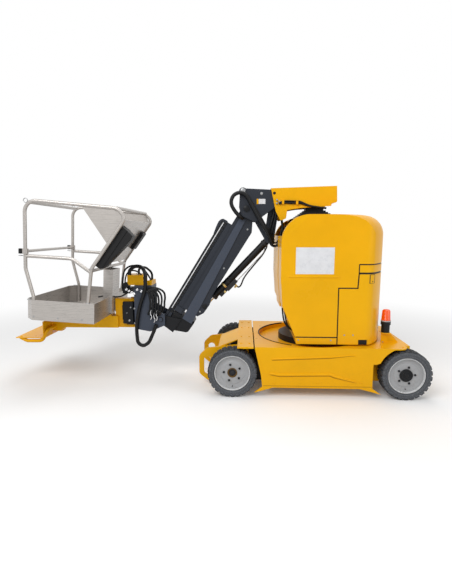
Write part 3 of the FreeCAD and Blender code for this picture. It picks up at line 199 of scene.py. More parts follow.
def turned(bm, outline, place=Matrix(), sides=32, start=0.0):
    """Turned form about the placement's Z; the outline holds radius and height from end to end."""
    rings = []
    for radius, height in outline:
        angles = [start + math.tau * k / sides for k in range(sides if radius else 1)]
        rings.append([bm.verts.new(place @ Vector((radius * math.cos(a), radius * math.sin(a), height)))
                      for a in angles])
    for low, high in zip(rings, rings[1:]):
        for k in range(sides):
            corners = [low[k % len(low)], low[(k + 1) % len(low)],
                       high[(k + 1) % len(high)], high[k % len(high)]]
            bm.faces.new(list(dict.fromkeys(corners)))
    return rings


def cap(bm, size, place, sides):
    """Plug with a straight wall and a chamfer; its size holds radius, wall height, top radius and height."""
    radius, wall_height, top, height = size
    turned(bm, [(radius, 0), (radius, wall_height), (top, height), (0, height)], place, sides)


def bolt(bm, at, axis, radius=0.008, height=0.006):
    """Hexagon head on its washer."""
    place, washer = stood(at, axis), height * 0.3
    turned(bm, [(radius * 1.5, 0), (radius * 1.5, washer), (0, washer)], place, 16)
    head = [(radius, washer), (radius, height * 0.85), (radius * 0.85, height), (0, height)]
    turned(bm, head, place, 6)


def sheet(bm, points, thick, place=Matrix()):
    """Flat plate from an outline in the placement's XY plane, `thick` deep along its Z."""
    low = [bm.verts.new(place @ Vector((x, y, 0))) for x, y in points]
    high = [bm.verts.new(place @ Vector((x, y, thick))) for x, y in points]
    bm.faces.new(low[::-1])
    bm.faces.new(high)
    for k in range(len(points)):
        after = (k + 1) % len(points)
        bm.faces.new((low[k], low[after], high[after], high[k]))


def linked(name, data):
    """New object of the scene that shows a mesh, curve, lamp or camera."""
    made = bpy.data.objects.new(name, data)
    bpy.context.scene.collection.objects.link(made)
    return made


def shape(name, bm, finish, body, edge=0.0, smooth=40):
    """Ends a mesh piece: finish, shading, soft edge and the body that it rides on."""
    bmesh.ops.recalc_face_normals(bm, faces=bm.faces)
    mesh = bpy.data.meshes.new(name)
    bm.to_mesh(mesh)
    bm.free()
    mesh.materials.append(finishes[finish])
    mesh.shade_smooth()
    mesh.set_sharp_from_angle(angle=math.radians(smooth))
    piece = linked(name, mesh)
    if edge:
        soften(piece, edge)
    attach(piece, body)
    return piece


def soften(piece, width, segments=2):
    """Rounds the hard edges of a piece, so that they catch the light."""
    bevel = piece.modifiers.new("soft_edge", "BEVEL")
    bevel.width = width
    bevel.segments = segments
    bevel.limit_method = "ANGLE"
    bevel.angle_limit = math.radians(35)


def hose(name, points, radius, finish, body, far_body=None):
    """Hose or pipe along a smooth line by its guide points; given a far body, it is left in place on no body.
    """
    curve = bpy.data.curves.new(name, "CURVE")
    curve.dimensions = "3D"
    curve.bevel_depth = radius
    curve.bevel_resolution = 4
    curve.use_fill_caps = True
    curve.resolution_u = 10
    line = curve.splines.new("NURBS")
    line.points.add(len(points) - 1)
    for place, point in zip(line.points, points):
        place.co = (*point, 1)
    line.order_u = 3 if len(points) > 2 else 2
    line.use_endpoint_u = True
    guide = linked(f"{name}_guide", curve)
    mesh = bpy.data.meshes.new_from_object(guide.evaluated_get(bpy.context.evaluated_depsgraph_get()))
    bpy.data.objects.remove(guide)
    mesh.name = name
    mesh.materials.clear()
    mesh.materials.append(finishes[finish])
    piece = linked(name, mesh)
    if far_body:
        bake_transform(piece)
    else:
        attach(piece, body)
    return piece


# ---------------------------------------------------------------- materials


def add_node(tree, kind, settings=None, **links):
    """Adds a node, sets its properties and sockets, and links the named inputs."""
    made = tree.nodes.new(kind)
    for name, value in (settings or {}).items():
        if isinstance(name, int) or name in made.inputs:
            made.inputs[name].default_value = value
        else:
            setattr(made, name, value)
    for name, source in links.items():
        socket = name.replace("_", " ")
        tree.links.new(source, made.inputs[int(socket[1:]) if socket[1:].isdigit() else socket])
    return made


def new_material(name):
    """An empty material with its output node; returns the material, its tree and the output."""
    material = bpy.data.materials.new(name)
    material.use_nodes = True
    material.node_tree.nodes.clear()
    return material, material.node_tree, material.node_tree.nodes.new("ShaderNodeOutputMaterial")


def colour4(value, gain=1.0):
    return tuple(min(1.0, c * gain) for c in tuple(value)[:3]) + (1.0,)


def per_metre(size_mm):
    """Pattern scale whose features are about this many millimetres across."""
    return 1000.0 / size_mm


def enamel(name, colour, roughness, soil, wear, shine=0.22):
    """Enamel sprayed on steel plate: an even colour that drifts a little from panel to panel, orange peel
    that softens highlights, dust that settles near the ground, and edges rubbed paler."""
    material, tree, out = new_material(name)
    place = add_node(tree, "ShaderNodeTexCoord").outputs["Object"]
    surface = add_node(tree, "ShaderNodeNewGeometry")
    drift = add_node(tree, "ShaderNodeTexNoise", {"Scale": per_metre(420), "Detail": 4.0, "Roughness": 0.6},
                     Vector=place)
    specks = add_node(tree, "ShaderNodeTexNoise", {"Scale": per_metre(14), "Detail": 6.0, "Roughness": 0.7},
                      Vector=place)
    tone = add_node(tree, "ShaderNodeMapRange", {1: 0.3, 2: 0.7}, Value=drift.outputs["Fac"])
    base = add_node(tree, "ShaderNodeMix", {"data_type": "RGBA", 6: colour4(colour, 0.94),
                                            7: colour4(colour, 1.05)},
                    Factor=tone.outputs[0])
    height = add_node(tree, "ShaderNodeSeparateXYZ", Vector=place).outputs["Z"]
    low = add_node(tree, "ShaderNodeMapRange", {1: 0.40, 2: 0.05, 3: 0.15, 4: 1.0}, Value=height)
    spot = add_node(tree, "ShaderNodeMapRange", {1: 0.52, 2: 0.80, 3: 0.0, 4: soil},
                    Value=specks.outputs["Fac"])
    dust = add_node(tree, "ShaderNodeMath", {"operation": "MULTIPLY"}, _0=spot.outputs[0], _1=low.outputs[0])
    soiled = add_node(tree, "ShaderNodeMix", {"data_type": "RGBA", 7: colour4(linear("#6B5F48"))},
                      Factor=dust.outputs[0], _6=base.outputs[2])
    rub = add_node(tree, "ShaderNodeMapRange", {1: 0.54, 2: 0.62, 3: 0.0, 4: wear},
                   Value=surface.outputs["Pointiness"])
    worn = add_node(tree, "ShaderNodeMix", {"data_type": "RGBA", 7: colour4(colour, 1.6)},
                    Factor=rub.outputs[0],
                    _6=soiled.outputs[2])
    gloss = add_node(tree, "ShaderNodeMapRange", {1: 0.3, 2: 0.7, 3: roughness - 0.04, 4: roughness + 0.08},
                     Value=drift.outputs["Fac"])
    peel = add_node(tree, "ShaderNodeTexNoise", {"Scale": per_metre(5), "Detail": 2.0}, Vector=place)
    bump = add_node(tree, "ShaderNodeBump", {"Strength": 0.06, "Distance": 0.001}, Height=peel.outputs["Fac"])
    shader = add_node(tree, "ShaderNodeBsdfPrincipled", {"IOR": 1.5, "Specular IOR Level": shine},
                      Base_Color=worn.outputs[2], Roughness=gloss.outputs[0], Normal=bump.outputs[0])
    tree.links.new(shader.outputs[0], out.inputs[0])
    return material


def brushed(name, colour, roughness, metallic, grain=(3.0, 3.0, 180.0), stain=0.25):
    """Brushed metal: fine lines from the belt that stretch highlights, with faint finger and water marks."""
    material, tree, out = new_material(name)
    place = add_node(tree, "ShaderNodeTexCoord").outputs["Object"]
    lines = add_node(tree, "ShaderNodeMapping", {"Scale": grain}, Vector=place)
    streak = add_node(tree, "ShaderNodeTexNoise", {"Scale": 2.0, "Detail": 6.0, "Roughness": 0.7},
                      Vector=lines.outputs[0])
    marks = add_node(tree, "ShaderNodeTexNoise", {"Scale": per_metre(90), "Detail": 5.0, "Roughness": 0.65},
                     Vector=place)
    tone = add_node(tree, "ShaderNodeMix", {"data_type": "RGBA", 6: colour4(colour, 0.86),
                                            7: colour4(colour, 1.12)},
                    Factor=streak.outputs["Fac"])
    dull = add_node(tree, "ShaderNodeMapRange", {1: 0.5, 2: 0.75, 3: 0.0, 4: stain},
                    Value=marks.outputs["Fac"])
    base = add_node(tree, "ShaderNodeMix", {"data_type": "RGBA", 7: colour4(colour, 0.55)},
                    Factor=dull.outputs[0],
                    _6=tone.outputs[2])
    gloss = add_node(tree, "ShaderNodeMapRange", {1: 0.3, 2: 0.7, 3: roughness - 0.08, 4: roughness + 0.10},
                     Value=streak.outputs["Fac"])
    bump = add_node(tree, "ShaderNodeBump", {"Strength": 0.08, "Distance": 0.0006},
                    Height=streak.outputs["Fac"])
    shader = add_node(tree, "ShaderNodeBsdfPrincipled", {"Metallic": metallic}, Base_Color=base.outputs[2],
                      Roughness=gloss.outputs[0], Normal=bump.outputs[0])
    tree.links.new(shader.outputs[0], out.inputs[0])
    return material


def moulded(name, colour, roughness, grit_mm, depth, soil="#8A8070", soiling=0.15, coat=0.0):
    """Moulded rubber or plastic: a fine pebbled skin that breaks the shine, with dust caught in it."""
    material, tree, out = new_material(name)
    place = add_node(tree, "ShaderNodeTexCoord").outputs["Object"]
    grit = add_node(tree, "ShaderNodeTexNoise", {"Scale": per_metre(grit_mm), "Detail": 4.0,
                                                 "Roughness": 0.6},
                    Vector=place)
    drift = add_node(tree, "ShaderNodeTexNoise", {"Scale": per_metre(120), "Detail": 5.0, "Roughness": 0.6},
                     Vector=place)
    tone = add_node(tree, "ShaderNodeMix", {"data_type": "RGBA", 6: colour4(colour, 0.82),
                                            7: colour4(colour, 1.15)},
                    Factor=drift.outputs["Fac"])
    dust = add_node(tree, "ShaderNodeMapRange", {1: 0.48, 2: 0.78, 3: 0.0, 4: soiling},
                    Value=grit.outputs["Fac"])
    base = add_node(tree, "ShaderNodeMix", {"data_type": "RGBA", 7: colour4(linear(soil))},
                    Factor=dust.outputs[0],
                    _6=tone.outputs[2])
    gloss = add_node(tree, "ShaderNodeMapRange", {1: 0.3, 2: 0.7, 3: roughness - 0.07, 4: roughness + 0.07},
                     Value=drift.outputs["Fac"])
    bump = add_node(tree, "ShaderNodeBump", {"Strength": 0.25, "Distance": depth}, Height=grit.outputs["Fac"])
    settings = {"IOR": 1.5, "Specular IOR Level": 0.25, "Coat Weight": coat}
    shader = add_node(tree, "ShaderNodeBsdfPrincipled", settings, Base_Color=base.outputs[2],
                      Roughness=gloss.outputs[0], Normal=bump.outputs[0])
    tree.links.new(shader.outputs[0], out.inputs[0])
    return material


def lamp_glass(name, colour):
    """Clear coloured polycarbonate: saturated, glossy, with light glowing a little through it."""
    material, tree, out = new_material(name)
    place = add_node(tree, "ShaderNodeTexCoord").outputs["Object"]
    ribs = add_node(tree, "ShaderNodeTexWave", {"Scale": per_metre(40), "bands_direction": "Z"}, Vector=place)
    tone = add_node(tree, "ShaderNodeMix", {"data_type": "RGBA", 6: colour4(colour, 0.85),
                                            7: colour4(colour, 1.2)},
                    Factor=ribs.outputs["Fac"])
    bump = add_node(tree, "ShaderNodeBump", {"Strength": 0.2, "Distance": 0.001}, Height=ribs.outputs["Fac"])
    shader = add_node(tree, "ShaderNodeBsdfPrincipled",
                      {"IOR": 1.58, "Roughness": 0.12, "Subsurface Weight": 0.3,
                       "Subsurface Radius": (0.02, 0.01, 0.004),
                       "Emission Color": colour4(colour), "Emission Strength": 0.12},
                      Base_Color=tone.outputs[2], Normal=bump.outputs[0])
    tree.links.new(shader.outputs[0], out.inputs[0])
    return material


finishes = {}


def make_finishes():
    colours = bpy.context.scene.lift_colours
    # two-pack enamel on folded sheet: bright and even, with broad soft highlights
    finishes["yellow"] = enamel("yellow_machine_enamel", colours.yellow, 0.30, 0.25, 0.12, shine=0.16)
    # the same enamel darkened to a brown tint: painted shade along the pressed lines and the fold
    finishes["painted_seam_shade"] = enamel("yellow_enamel_painted_shade", linear("#B98408"), 0.5, 0.5, 0.0)
    # satin enamel on the structure: a flat blue-grey with little shine
    finishes["charcoal"] = enamel("charcoal_satin_enamel", colours.charcoal, 0.42, 0.2, 0.3)
    # the same enamel painted a shade paler and bluer on the plate bands: a painted reflection of the sky
    finishes["painted_sky_sheen"] = enamel("charcoal_enamel_painted_sky_sheen", linear("#3D434F"), 0.40, 0.2, 0.3)
    # black enamel on machinery and hidden steel
    finishes["black"] = enamel("black_satin_enamel", linear("#121316"), 0.42, 0.15, 0.2)
    # silver enamel on pressed discs, dusty near the nuts
    finishes["rim"] = enamel("silver_rim_enamel", colours.rim, 0.42, 0.75, 0.15)
    # stainless tube and sheet, brushed: soft streaks along the grain and dull water marks
    finishes["stainless"] = brushed("brushed_stainless_steel", colours.stainless, 0.30, 0.55)
    # near-white metal with a crisp edge, used as painted light: a highlight round the rim flanges, glints on
    # the side hoses and light through the jib's chain gap
    finishes["bright"] = brushed("near_white_painted_light", linear("#E4E5E6"), 0.3, 0.35, stain=0.05)
    # zinc plate on bolts: dull silver
    finishes["steel"] = brushed("zinc_plated_steel", linear("#9FA0A1"), 0.35, 0.8, (20, 20, 20))
    # hard chrome on rods and fittings: mirror bright
    finishes["chrome"] = brushed("hard_chromed_rod", linear("#D8D8DA"), 0.12, 1.0, (4, 120, 4), 0.05)
    # passivated zinc: pale straw with a green cast
    finishes["zinc"] = brushed("yellow_passivated_zinc", linear("#C9B070"), 0.35, 0.6, (20, 20, 20))
    # grease and rust on the open front hub: brown, half wet
    finishes["rust"] = moulded("greasy_rusted_iron", linear("#5C4318"), 0.5, 6, 0.001, "#1B120B", 0.7, 0.2)
    # cast iron, oiled: dark and grainy; also the painted shade on the wheel nuts, which are made this dark
    finishes["cast_iron_and_shade"] = moulded("dark_cast_iron_and_painted_shade", linear("#26272B"), 0.6, 5, 0.0008)
    # non-marking compound: grey, chalky, with dust in the scuffs
    finishes["rubber"] = moulded("grey_tyre_compound", colours.rubber, 0.75, 7, 0.0012, "#A9A9AA", 0.4)
    # the same compound on the tread, blackened by the road
    finishes["tread"] = moulded("blackened_tyre_tread", linear("#303236"), 0.8, 9, 0.0015, "#8A8A8A", 0.35)
    # moulded plastic: black, with a fine spark texture
    finishes["plastic"] = moulded("black_moulded_plastic", linear("#0E0F11"), 0.5, 2.5, 0.0004,
                                  soiling=0.05)
    # hose cover rubber: black with a low shine
    finishes["hose"] = moulded("black_hose_rubber", linear("#0B0C0E"), 0.42, 3, 0.0003, "#5A5A5C", 0.10)
    # printable film left blank: cool white, slightly uneven
    finishes["label"] = moulded("white_label_film", linear("#E2E3E6"), 0.35, 40, 0.0001, "#BFC2C8", 0.45)
    finishes["amber"] = lamp_glass("amber_polycarbonate", linear("#F0560A"))


NODE_FINISH = {
    "yellow": ("chassis_frame", "nose_cover", "nose_lugs", "tie_down_lugs", "turret_cover",
               "turret_base", "rear_panel_near", "rear_door_far", "rear_band", "mast_front_cover",
               "mast_head", "support_arm", "entry_step", "valve_covers", "beacon_bracket"),
    "charcoal": ("head_bracket", "rocker_lever", "jib_boom", "chain_tray"),
    # the upright wears the paler copy of the charcoal: painted reflection of the sky
    "painted_sky_sheen": ("basket_upright",),
    "black": ("mast_column", "mast_stage_1", "mast_stage_2", "mast_stage_3", "mast_stage_4", "mast_stage_5",
              "lift_cylinder_barrel", "wheel_guards", "front_axle_beam", "steering_knuckle_near",
              "steering_knuckle_far", "tie_rod", "counterweight", "swing_barrel", "jib_inner", "slew_ring"),
    "stainless": ("basket_rails", "basket_tray", "console_panel", "entry_bar"),
    "chrome": ("lift_cylinder_rod",),
    "cast_iron_and_shade": ("rear_axle_drives", "chassis_ballast"),
    "rim": ("rim_front_near", "rim_front_far", "rim_rear_near", "rim_rear_far"),
    "rubber": ("tyre_front_near", "tyre_front_far", "tyre_rear_near", "tyre_rear_far"),
    "plastic": ("console_box", "battery_pack", "beacon_socket"),
    "hose": ("upright_hose", "valve_hose", "head_hose"),
    "amber": ("beacon_lens",),
}
FOLDED = ("chassis_frame", "nose_cover", "nose_lugs", "turret_cover", "rear_panel_near", "rear_door_far",
          "rear_band", "mast_head", "head_bracket", "jib_boom", "jib_inner", "chain_tray",
          "basket_upright", "support_arm", "entry_step", "valve_covers", "basket_tray",
          "mast_front_cover", "turret_base", "rocker_lever")


class LIFT_OT_finishes(bpy.types.Operator):
    """Makes the finishes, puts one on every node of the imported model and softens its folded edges"""

    bl_idname = "lift.finishes"
    bl_label = "Finishes"

    def execute(self, context):
        make_finishes()
        for finish, names in NODE_FINISH.items():
            for name in names:
                mesh = frame["nodes"][name].data
                mesh.materials.clear()
                mesh.materials.append(finishes[finish])
        for name in FOLDED:
            soften(frame["nodes"][name], context.scene.lift_sizes.sheet_edge)
        return {"FINISHED"}


# ---------------------------------------------------------------- wheels

WHEELS = [(place, side, f"{place}_{'near' if side < 0 else 'far'}")
          for place in ("front", "rear") for side in (-1, 1)]


def wheel_place(tag, side):
    """Placement on a wheel's axle, with Z pointing out of its outer face and its origin in that face."""
    centre = joint_place(f"spin_{tag}")
    return stood((centre.x, WHEEL_FACE * side, centre.z), (0, side, 0))


def around(stand, radius, height, count, start=0.0):
    """Points evenly round a wheel's axle."""
    return [stand @ Vector((x, y, height))
            for x, y in arc(radius, [start + math.tau * k / count for k in range(count)])]


class LIFT_OT_tyres(bpy.types.Operator):
    """Moulds the four solid tyres with their shoulder lugs and side rings"""

    bl_idname = "lift.tyres"
    bl_label = "Tyres"

    def execute(self, context):
        sizes = context.scene.lift_sizes
        crown = [(0.178, 0.012), (0.184, 0.004), (0.196, 0.0015), (0.199, 0.006), (0.208, 0.006),
                 (0.211, 0.001), (0.228, 0.002), (0.2375, 0.008), (0.240, 0.018), (0.240, 0.045)]
        outline = [(r, -d) for r, d in crown] + [(r, d - WHEEL_WIDTH) for r, d in reversed(crown)]
        middle_depth = -WHEEL_WIDTH / 2
        shoulder, plain_band, undercut, tread_edge = 0.226, 0.028, 0.004, 0.2285
        per_lug, cut_steps, lug_shift = 8, 2, 4
        for _, side, tag in WHEELS:
            bm = bmesh.new()
            rings = turned(bm, outline, wheel_place(tag, side), sizes.tread_lugs * per_lug)
            axle = joint_place(f"spin_{tag}")
            for (radius, depth), ring in zip(outline, rings):
                if radius < shoulder or abs(depth - middle_depth) < plain_band:
                    continue
                inner_half = depth < middle_depth
                for k, vert in enumerate(ring):
                    if (k + (lug_shift if inner_half else 0)) % per_lug < cut_steps:
                        out = Vector((vert.co.x - axle.x, 0, vert.co.z - axle.z)).normalized()
                        vert.co -= out * sizes.tread_depth
                        vert.co.y -= undercut * side * (-1 if inner_half else 1)
            for face in bm.faces:
                spot = face.calc_center_median()
                face.material_index = int(math.hypot(spot.x - axle.x, spot.z - axle.z) > tread_edge)
            tyre = shape(f"tyre_dressed_{tag}", bm, "rubber", f"wheel_{tag}", smooth=30)
            tyre.data.materials.append(finishes["tread"])
            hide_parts(f"tyre_{tag}")
        return {"FINISHED"}


class LIFT_OT_rims(bpy.types.Operator):
    """Spins the dished rims and fits their nuts, hubs and valve"""

    bl_idname = "lift.rims"
    bl_label = "Rims"

    def execute(self, context):
        circle = context.scene.lift_sizes.nut_circle
        nut_face, bolt_circle, bolt_face = -0.031, 0.049, -0.021
        for place, side, tag in WHEELS:
            driven = place == "rear"
            wheel = f"wheel_{tag}"
            hub = 0.062 if driven else 0.048
            stand = wheel_place(tag, side)
            out = (0, side, 0)
            nuts = around(stand, circle, nut_face, 5, math.radians(76 if driven else 104))
            bm = bmesh.new()
            turned(bm, [(0.160, -0.140), (0.177, -0.140), (0.177, -0.020), (0.1695, -0.016),
                        (0.1665, -0.030), (0.160, -0.034), (0.150, -0.0345), (0.118, -0.036),
                        (0.112, -0.032), (hub + 0.012, -0.030), (hub, -0.032), (hub - 0.003, -0.040),
                        (0.0, -0.040)], stand, 96)
            turned(bm, [(0.0, -0.046), (0.150, -0.046), (0.160, -0.060), (0.160, -0.140)], stand, 96)
            for spot in nuts:
                turned(bm, [(0.017, 0.0), (0.0155, 0.003), (0.013, 0.003), (0.012, 0.0)],
                       stood(spot, out), 20)
            rim = shape(f"rim_dressed_{tag}", bm, "rim", wheel, smooth=25)
            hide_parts(f"rim_{tag}")
            # the rolled flange in near-white: a painted highlight round the rim
            bm = bmesh.new()
            turned(bm, [(0.1635, -0.030), (0.1655, -0.012), (0.1675, -0.007), (0.1705, -0.007),
                        (0.1720, -0.010), (0.1720, -0.020)], stand, 96)
            shape(f"rim_flange_painted_highlight_{tag}", bm, "bright", wheel, smooth=60)

            # the wheel nuts in dark cast iron: painted shade standing in for the nuts' shadows
            bm = bmesh.new()
            nut = [(0.011, 0.0), (0.011, 0.008), (0.009, 0.010), (0.0055, 0.010), (0.0055, 0.015),
                   (0, 0.015)]
            for k, spot in enumerate(nuts):
                turned(bm, nut, stood(spot, out), 6, 0.3 * k)
            turned(bm, [(0.005, 0.0), (0.005, 0.012), (0.003, 0.014), (0.003, 0.020), (0, 0.020)],
                   stood(stand @ Vector((0.0, -0.135, -0.036)), out), 12)
            shape(f"wheel_nuts_painted_shade_{tag}", bm, "cast_iron_and_shade", wheel, smooth=25)

            bm = bmesh.new()
            if driven:
                turned(bm, [(hub - 0.002, -0.040), (hub - 0.001, -0.024), (hub - 0.004, -0.021),
                            (0.040, -0.021), (0.037, -0.024), (0.020, -0.024), (0.017, -0.020),
                            (0, -0.019)], stand, 48)
                for spot in around(stand, bolt_circle, bolt_face, 6):
                    bolt(bm, spot, out, 0.005, 0.004)
                shape(f"wheel_hub_{tag}", bm, "black", wheel, smooth=30)
                continue
            turned(bm, [(hub - 0.002, -0.040), (hub, -0.028), (hub - 0.004, -0.026), (hub - 0.012, -0.028),
                        (hub - 0.014, -0.038), (hub - 0.014, -0.040)], stand, 48)
            shape(f"wheel_hub_{tag}", bm, "rust", wheel, smooth=30)
            bm = bmesh.new()
            turned(bm, [(hub - 0.012, -0.039), (0.024, -0.039), (0.021, -0.033), (0.012, -0.031),
                        (0, -0.031)], stand, 36)
            shape(f"wheel_cap_{tag}", bm, "cast_iron_and_shade", wheel, smooth=30)
        return {"FINISHED"}


# ---------------------------------------------------------------- chassis and covers


def ridge(bm, points, height, y, side):
    """Low pressed ridge on a side face; each point holds x, z and the ridge's half width there."""
    section = ((-1, -0.4), (-0.85, 0.7), (-0.3, 1), (0.3, 0.9), (0.7, 0.45), (1, -0.4))
    rows = []
    for k, (x, z, half) in enumerate(points):
        before, after = points[max(k - 1, 0)], points[min(k + 1, len(points) - 1)]
        along = Vector((after[0] - before[0], 0, after[1] - before[1])).normalized()
        across = Vector((-along.z, 0, along.x))
        rows.append([bm.verts.new(mid(x, side * (y + height * lift), z) + across * half * share)
                     for share, lift in section])
    for low, high in zip(rows, rows[1:]):
        for k in range(len(section)):
            after = (k + 1) % len(section)
            bm.faces.new((low[k], low[after], high[after], high[k]))
    bm.faces.new(rows[0])
    bm.faces.new(rows[-1][::-1])


CORNER, CORNER_RADIUS, TAIL_RADIUS = (0.4293, 0.390), 0.110, 0.690
# depths of the dark strips of painted shade in the panel gaps
GAP_SHADE_FACE, GAP_SHADE_BACK = 0.005, 0.0072


def cover_plan(inset, x_from, side):
    """Plan of the turret covers, from a place on the flat side round its corner to the middle of the tail."""
    turn = math.atan2(0.4640, 0.5107)
    quarter = math.pi / 2
    plan = [(x_from, COVER - inset)]
    plan += arc(CORNER_RADIUS - inset, [quarter + (turn - quarter) * k / 12 for k in range(13)], CORNER)
    plan += arc(TAIL_RADIUS - inset, [turn * (1 - k / 24) for k in range(1, 25)])
    return [(x, y * side) for x, y in plan]


def wall(bm, outer, inner, low, high):
    """Upright band between two plan lines, closed at its ends."""
    rows = [[bm.verts.new(mid(*place, z)) for place, z in ((a, low), (a, high), (b, high), (b, low))]
            for a, b in zip(outer, inner)]
    for near, far in zip(rows, rows[1:]):
        for k in range(4):
            after = (k + 1) % 4
            bm.faces.new((near[k], near[after], far[after], far[k]))
    bm.faces.new(rows[0])
    bm.faces.new(rows[-1][::-1])


class LIFT_OT_chassis(bpy.types.Operator):
    """Presses ribs into the chassis side plates, lines them and the fold with painted shade, and sets their
    bolts, black arch sheets of painted shade and well trim
    """

    bl_idname = "lift.chassis"
    bl_label = "Chassis sides"

    def execute(self, context):
        ribs, heads, dark, arch_shade, trim = (bmesh.new() for k in range(5))
        for side in (-1, 1):
            ridge(ribs, [(-0.452, 0.385, 0.003), (-0.440, 0.387, 0.009), (0.102, 0.413, 0.009),
                         (0.343, 0.435, 0.003)], 0.007, SIDE, side)
            ridge(ribs, [(-0.468, 0.240, 0.004), (-0.452, 0.242, 0.012), (-0.373, 0.230, 0.014),
                         (0.108, 0.243, 0.014), (0.159, 0.221, 0.012), (0.356, 0.171, 0.003)], 0.011, SIDE,
                  side)
            for x, z in ((-0.423, 0.144), (-0.005, 0.156), (0.403, 0.164)):
                bolt(heads, mid(x, side * SIDE, z), (0, side, 0), 0.007, 0.005)
            # dark lines along the fold and under the ribs: painted shade in darker yellow-brown enamel
            ridge(dark, [(-0.525, 0.118, 0.0035), (0.524, 0.122, 0.0035)], 0.0012, SIDE, side)
            ridge(dark, [(-0.448, 0.374, 0.002), (-0.430, 0.374, 0.0045), (0.102, 0.400, 0.0045),
                         (0.330, 0.429, 0.001)], 0.001, SIDE, side)
            ridge(dark, [(-0.455, 0.226, 0.002), (-0.373, 0.213, 0.0045), (0.100, 0.226, 0.0045),
                         (0.152, 0.206, 0.004), (0.340, 0.163, 0.001)], 0.001, SIDE, side)
            for x in (-0.74, -0.66):
                for y in (0.20, 0.46):
                    bolt(heads, mid(x, side * y, 0.504), UP, 0.008, 0.006)
            for x in (0.60, 0.80):
                bolt(heads, mid(x, side * 0.52, 0.500), UP, 0.008, 0.006)
            for z in (0.30, 0.38):
                bolt(heads, mid(-0.80, side * 0.270, z), (0, side, 0), 0.010, 0.008)
            # black sheets in the wheel arches: painted shade that hides the floor seen behind the wheels
            y = layer(side, 0.283, 0.289)
            block(arch_shade, mid(-0.640, y[0], 0.070), mid(-0.560, y[1], 0.420))
            block(arch_shade, mid(0.530, y[0], 0.160), mid(0.640, y[1], 0.440))
        shape("chassis_side_ribs", ribs, "yellow", "chassis", smooth=60)
        well = [math.radians(118 + 2.5 * k) for k in range(51)]
        wall(trim, arc(0.5615, well), arc(0.5535, well), 0.492, 0.5045)
        shape("chassis_bolt_heads", heads, "yellow", "chassis", smooth=30)
        shape("chassis_painted_seam_shade", dark, "painted_seam_shade", "chassis")
        shape("chassis_arch_painted_shade", arch_shade, "black", "chassis", edge=0.002)
        shape("chassis_well_trim", trim, "plastic", "chassis")
        return {"FINISHED"}


class LIFT_OT_covers(bpy.types.Operator):
    """Fills the panel gaps of the turret with dark strips of painted shade and sets its plates, rib, latches
    and screws
    """

    bl_idname = "lift.covers"
    bl_label = "Turret covers"

    def execute(self, context):
        gap = context.scene.lift_sizes.gap_width
        gap_shade, trim, latch, plate, screws = (bmesh.new() for k in range(5))
        for side in (-1, 1):
            # dark strips in the panel gaps: painted shade over the yellow backing
            def gap_shade_band(x_from, low, high):
                face, back = (cover_plan(depth, x_from, side) for depth in (GAP_SHADE_FACE, GAP_SHADE_BACK))
                wall(gap_shade, face, back, low, high)

            def gap_shade_strip(x_from, x_to, z):
                face, back = ([(x, side * (COVER - depth)) for x in (x_from, x_to)]
                              for depth in (GAP_SHADE_FACE, GAP_SHADE_BACK))
                wall(gap_shade, face, back, z, z + gap)

            def gap_shade_post(x, low, high, wide=gap):
                y = layer(side, COVER - GAP_SHADE_FACE, COVER - GAP_SHADE_BACK)
                block(gap_shade, mid(x - wide / 2, y[0], low), mid(x + wide / 2, y[1], high))

            gap_shade_strip(-0.215, 0.18, 0.577)
            gap_shade_post(0.180, 0.516, 1.060)
            gap_shade_strip(0.174, 0.36, 1.056)
            gap_shade_post(0.357, 1.060, 1.286, 0.020)
            gap_shade_band(0.360, 1.194, 1.212)
            gap_shade_band(0.360, 1.280, 1.292)
            ridge(trim, [(-0.300, 1.1675, 0.004), (-0.290, 1.1675, 0.010), (0.180, 1.1675, 0.010),
                         (0.190, 1.1675, 0.004)], 0.004, COVER, side)
            ridge(trim, [(-0.240, 1.458, 0.003), (0.128, 1.458, 0.003)], 0.0018, COVER, side)
            y = layer(side, COVER - 0.001, COVER + 0.0012)
            block(plate, mid(-0.233, y[0], 1.194), mid(0.125, y[1], 1.445))
            for x, z in ((0.246, 0.608), (0.328, 0.609), (-0.19, 0.555), (0.12, 0.555)):
                bolt(screws, mid(x, side * COVER, z), (0, side, 0), 0.005, 0.004)
            turn = math.radians(54)
            spot = arc(CORNER_RADIUS, [turn], CORNER, side)[0]
            lock = stood(mid(*spot, 1.125), (math.cos(turn), side * math.sin(turn), 0))
            turned(latch, [(0, 0.0025), (0.005, 0.0025), (0.006, 0.001), (0.006, -0.006)], lock, 20)
            angles = [math.radians(34 + 4 * k) for k in range(11)]
            frame_out = arc(0.1112, angles, CORNER, side)
            frame_in = arc(0.105, angles, CORNER, side)
            for low, high in ((1.107, 1.110), (1.188, 1.191)):
                wall(latch, frame_out, frame_in, low, high)
            for at in (0, 9):
                wall(latch, frame_out[at:at + 2], frame_in[at:at + 2], 1.108, 1.190)
        # painted shade in the gap at the middle of the tail and in the notch at its foot
        block(gap_shade, mid(TAIL_RADIUS - GAP_SHADE_BACK, -gap / 2, 0.515),
              mid(TAIL_RADIUS - GAP_SHADE_FACE, gap / 2, 1.194))
        block(gap_shade, mid(0.372, -0.4925, 0.516), mid(0.470, -0.488, 0.566))
        shape("cover_gap_painted_shade", gap_shade, "plastic", "turret")
        shape("cover_ribs", trim, "yellow", "turret", smooth=60)
        shape("cover_latches", latch, "plastic", "turret", smooth=30)
        shape("cover_blank_plates", plate, "label", "turret", edge=0.0006)
        shape("cover_screws", screws, "steel", "turret", smooth=30)
        for number, (shift, sag) in enumerate(((0.0, 0.0), (0.022, 0.014))):
            places = [(-0.335, -0.34, 0.84), (-0.330, -0.36, 0.76), (-0.312, -0.38, 0.69 - sag),
                      (-0.262, -0.37, 0.632 - sag), (-0.205, -0.33, 0.60)]
            hose(f"slew_cable_{number}", mids(*((x + shift, y, z) for x, y, z in places)), 0.008, "hose",
                 "turret")
        return {"FINISHED"}


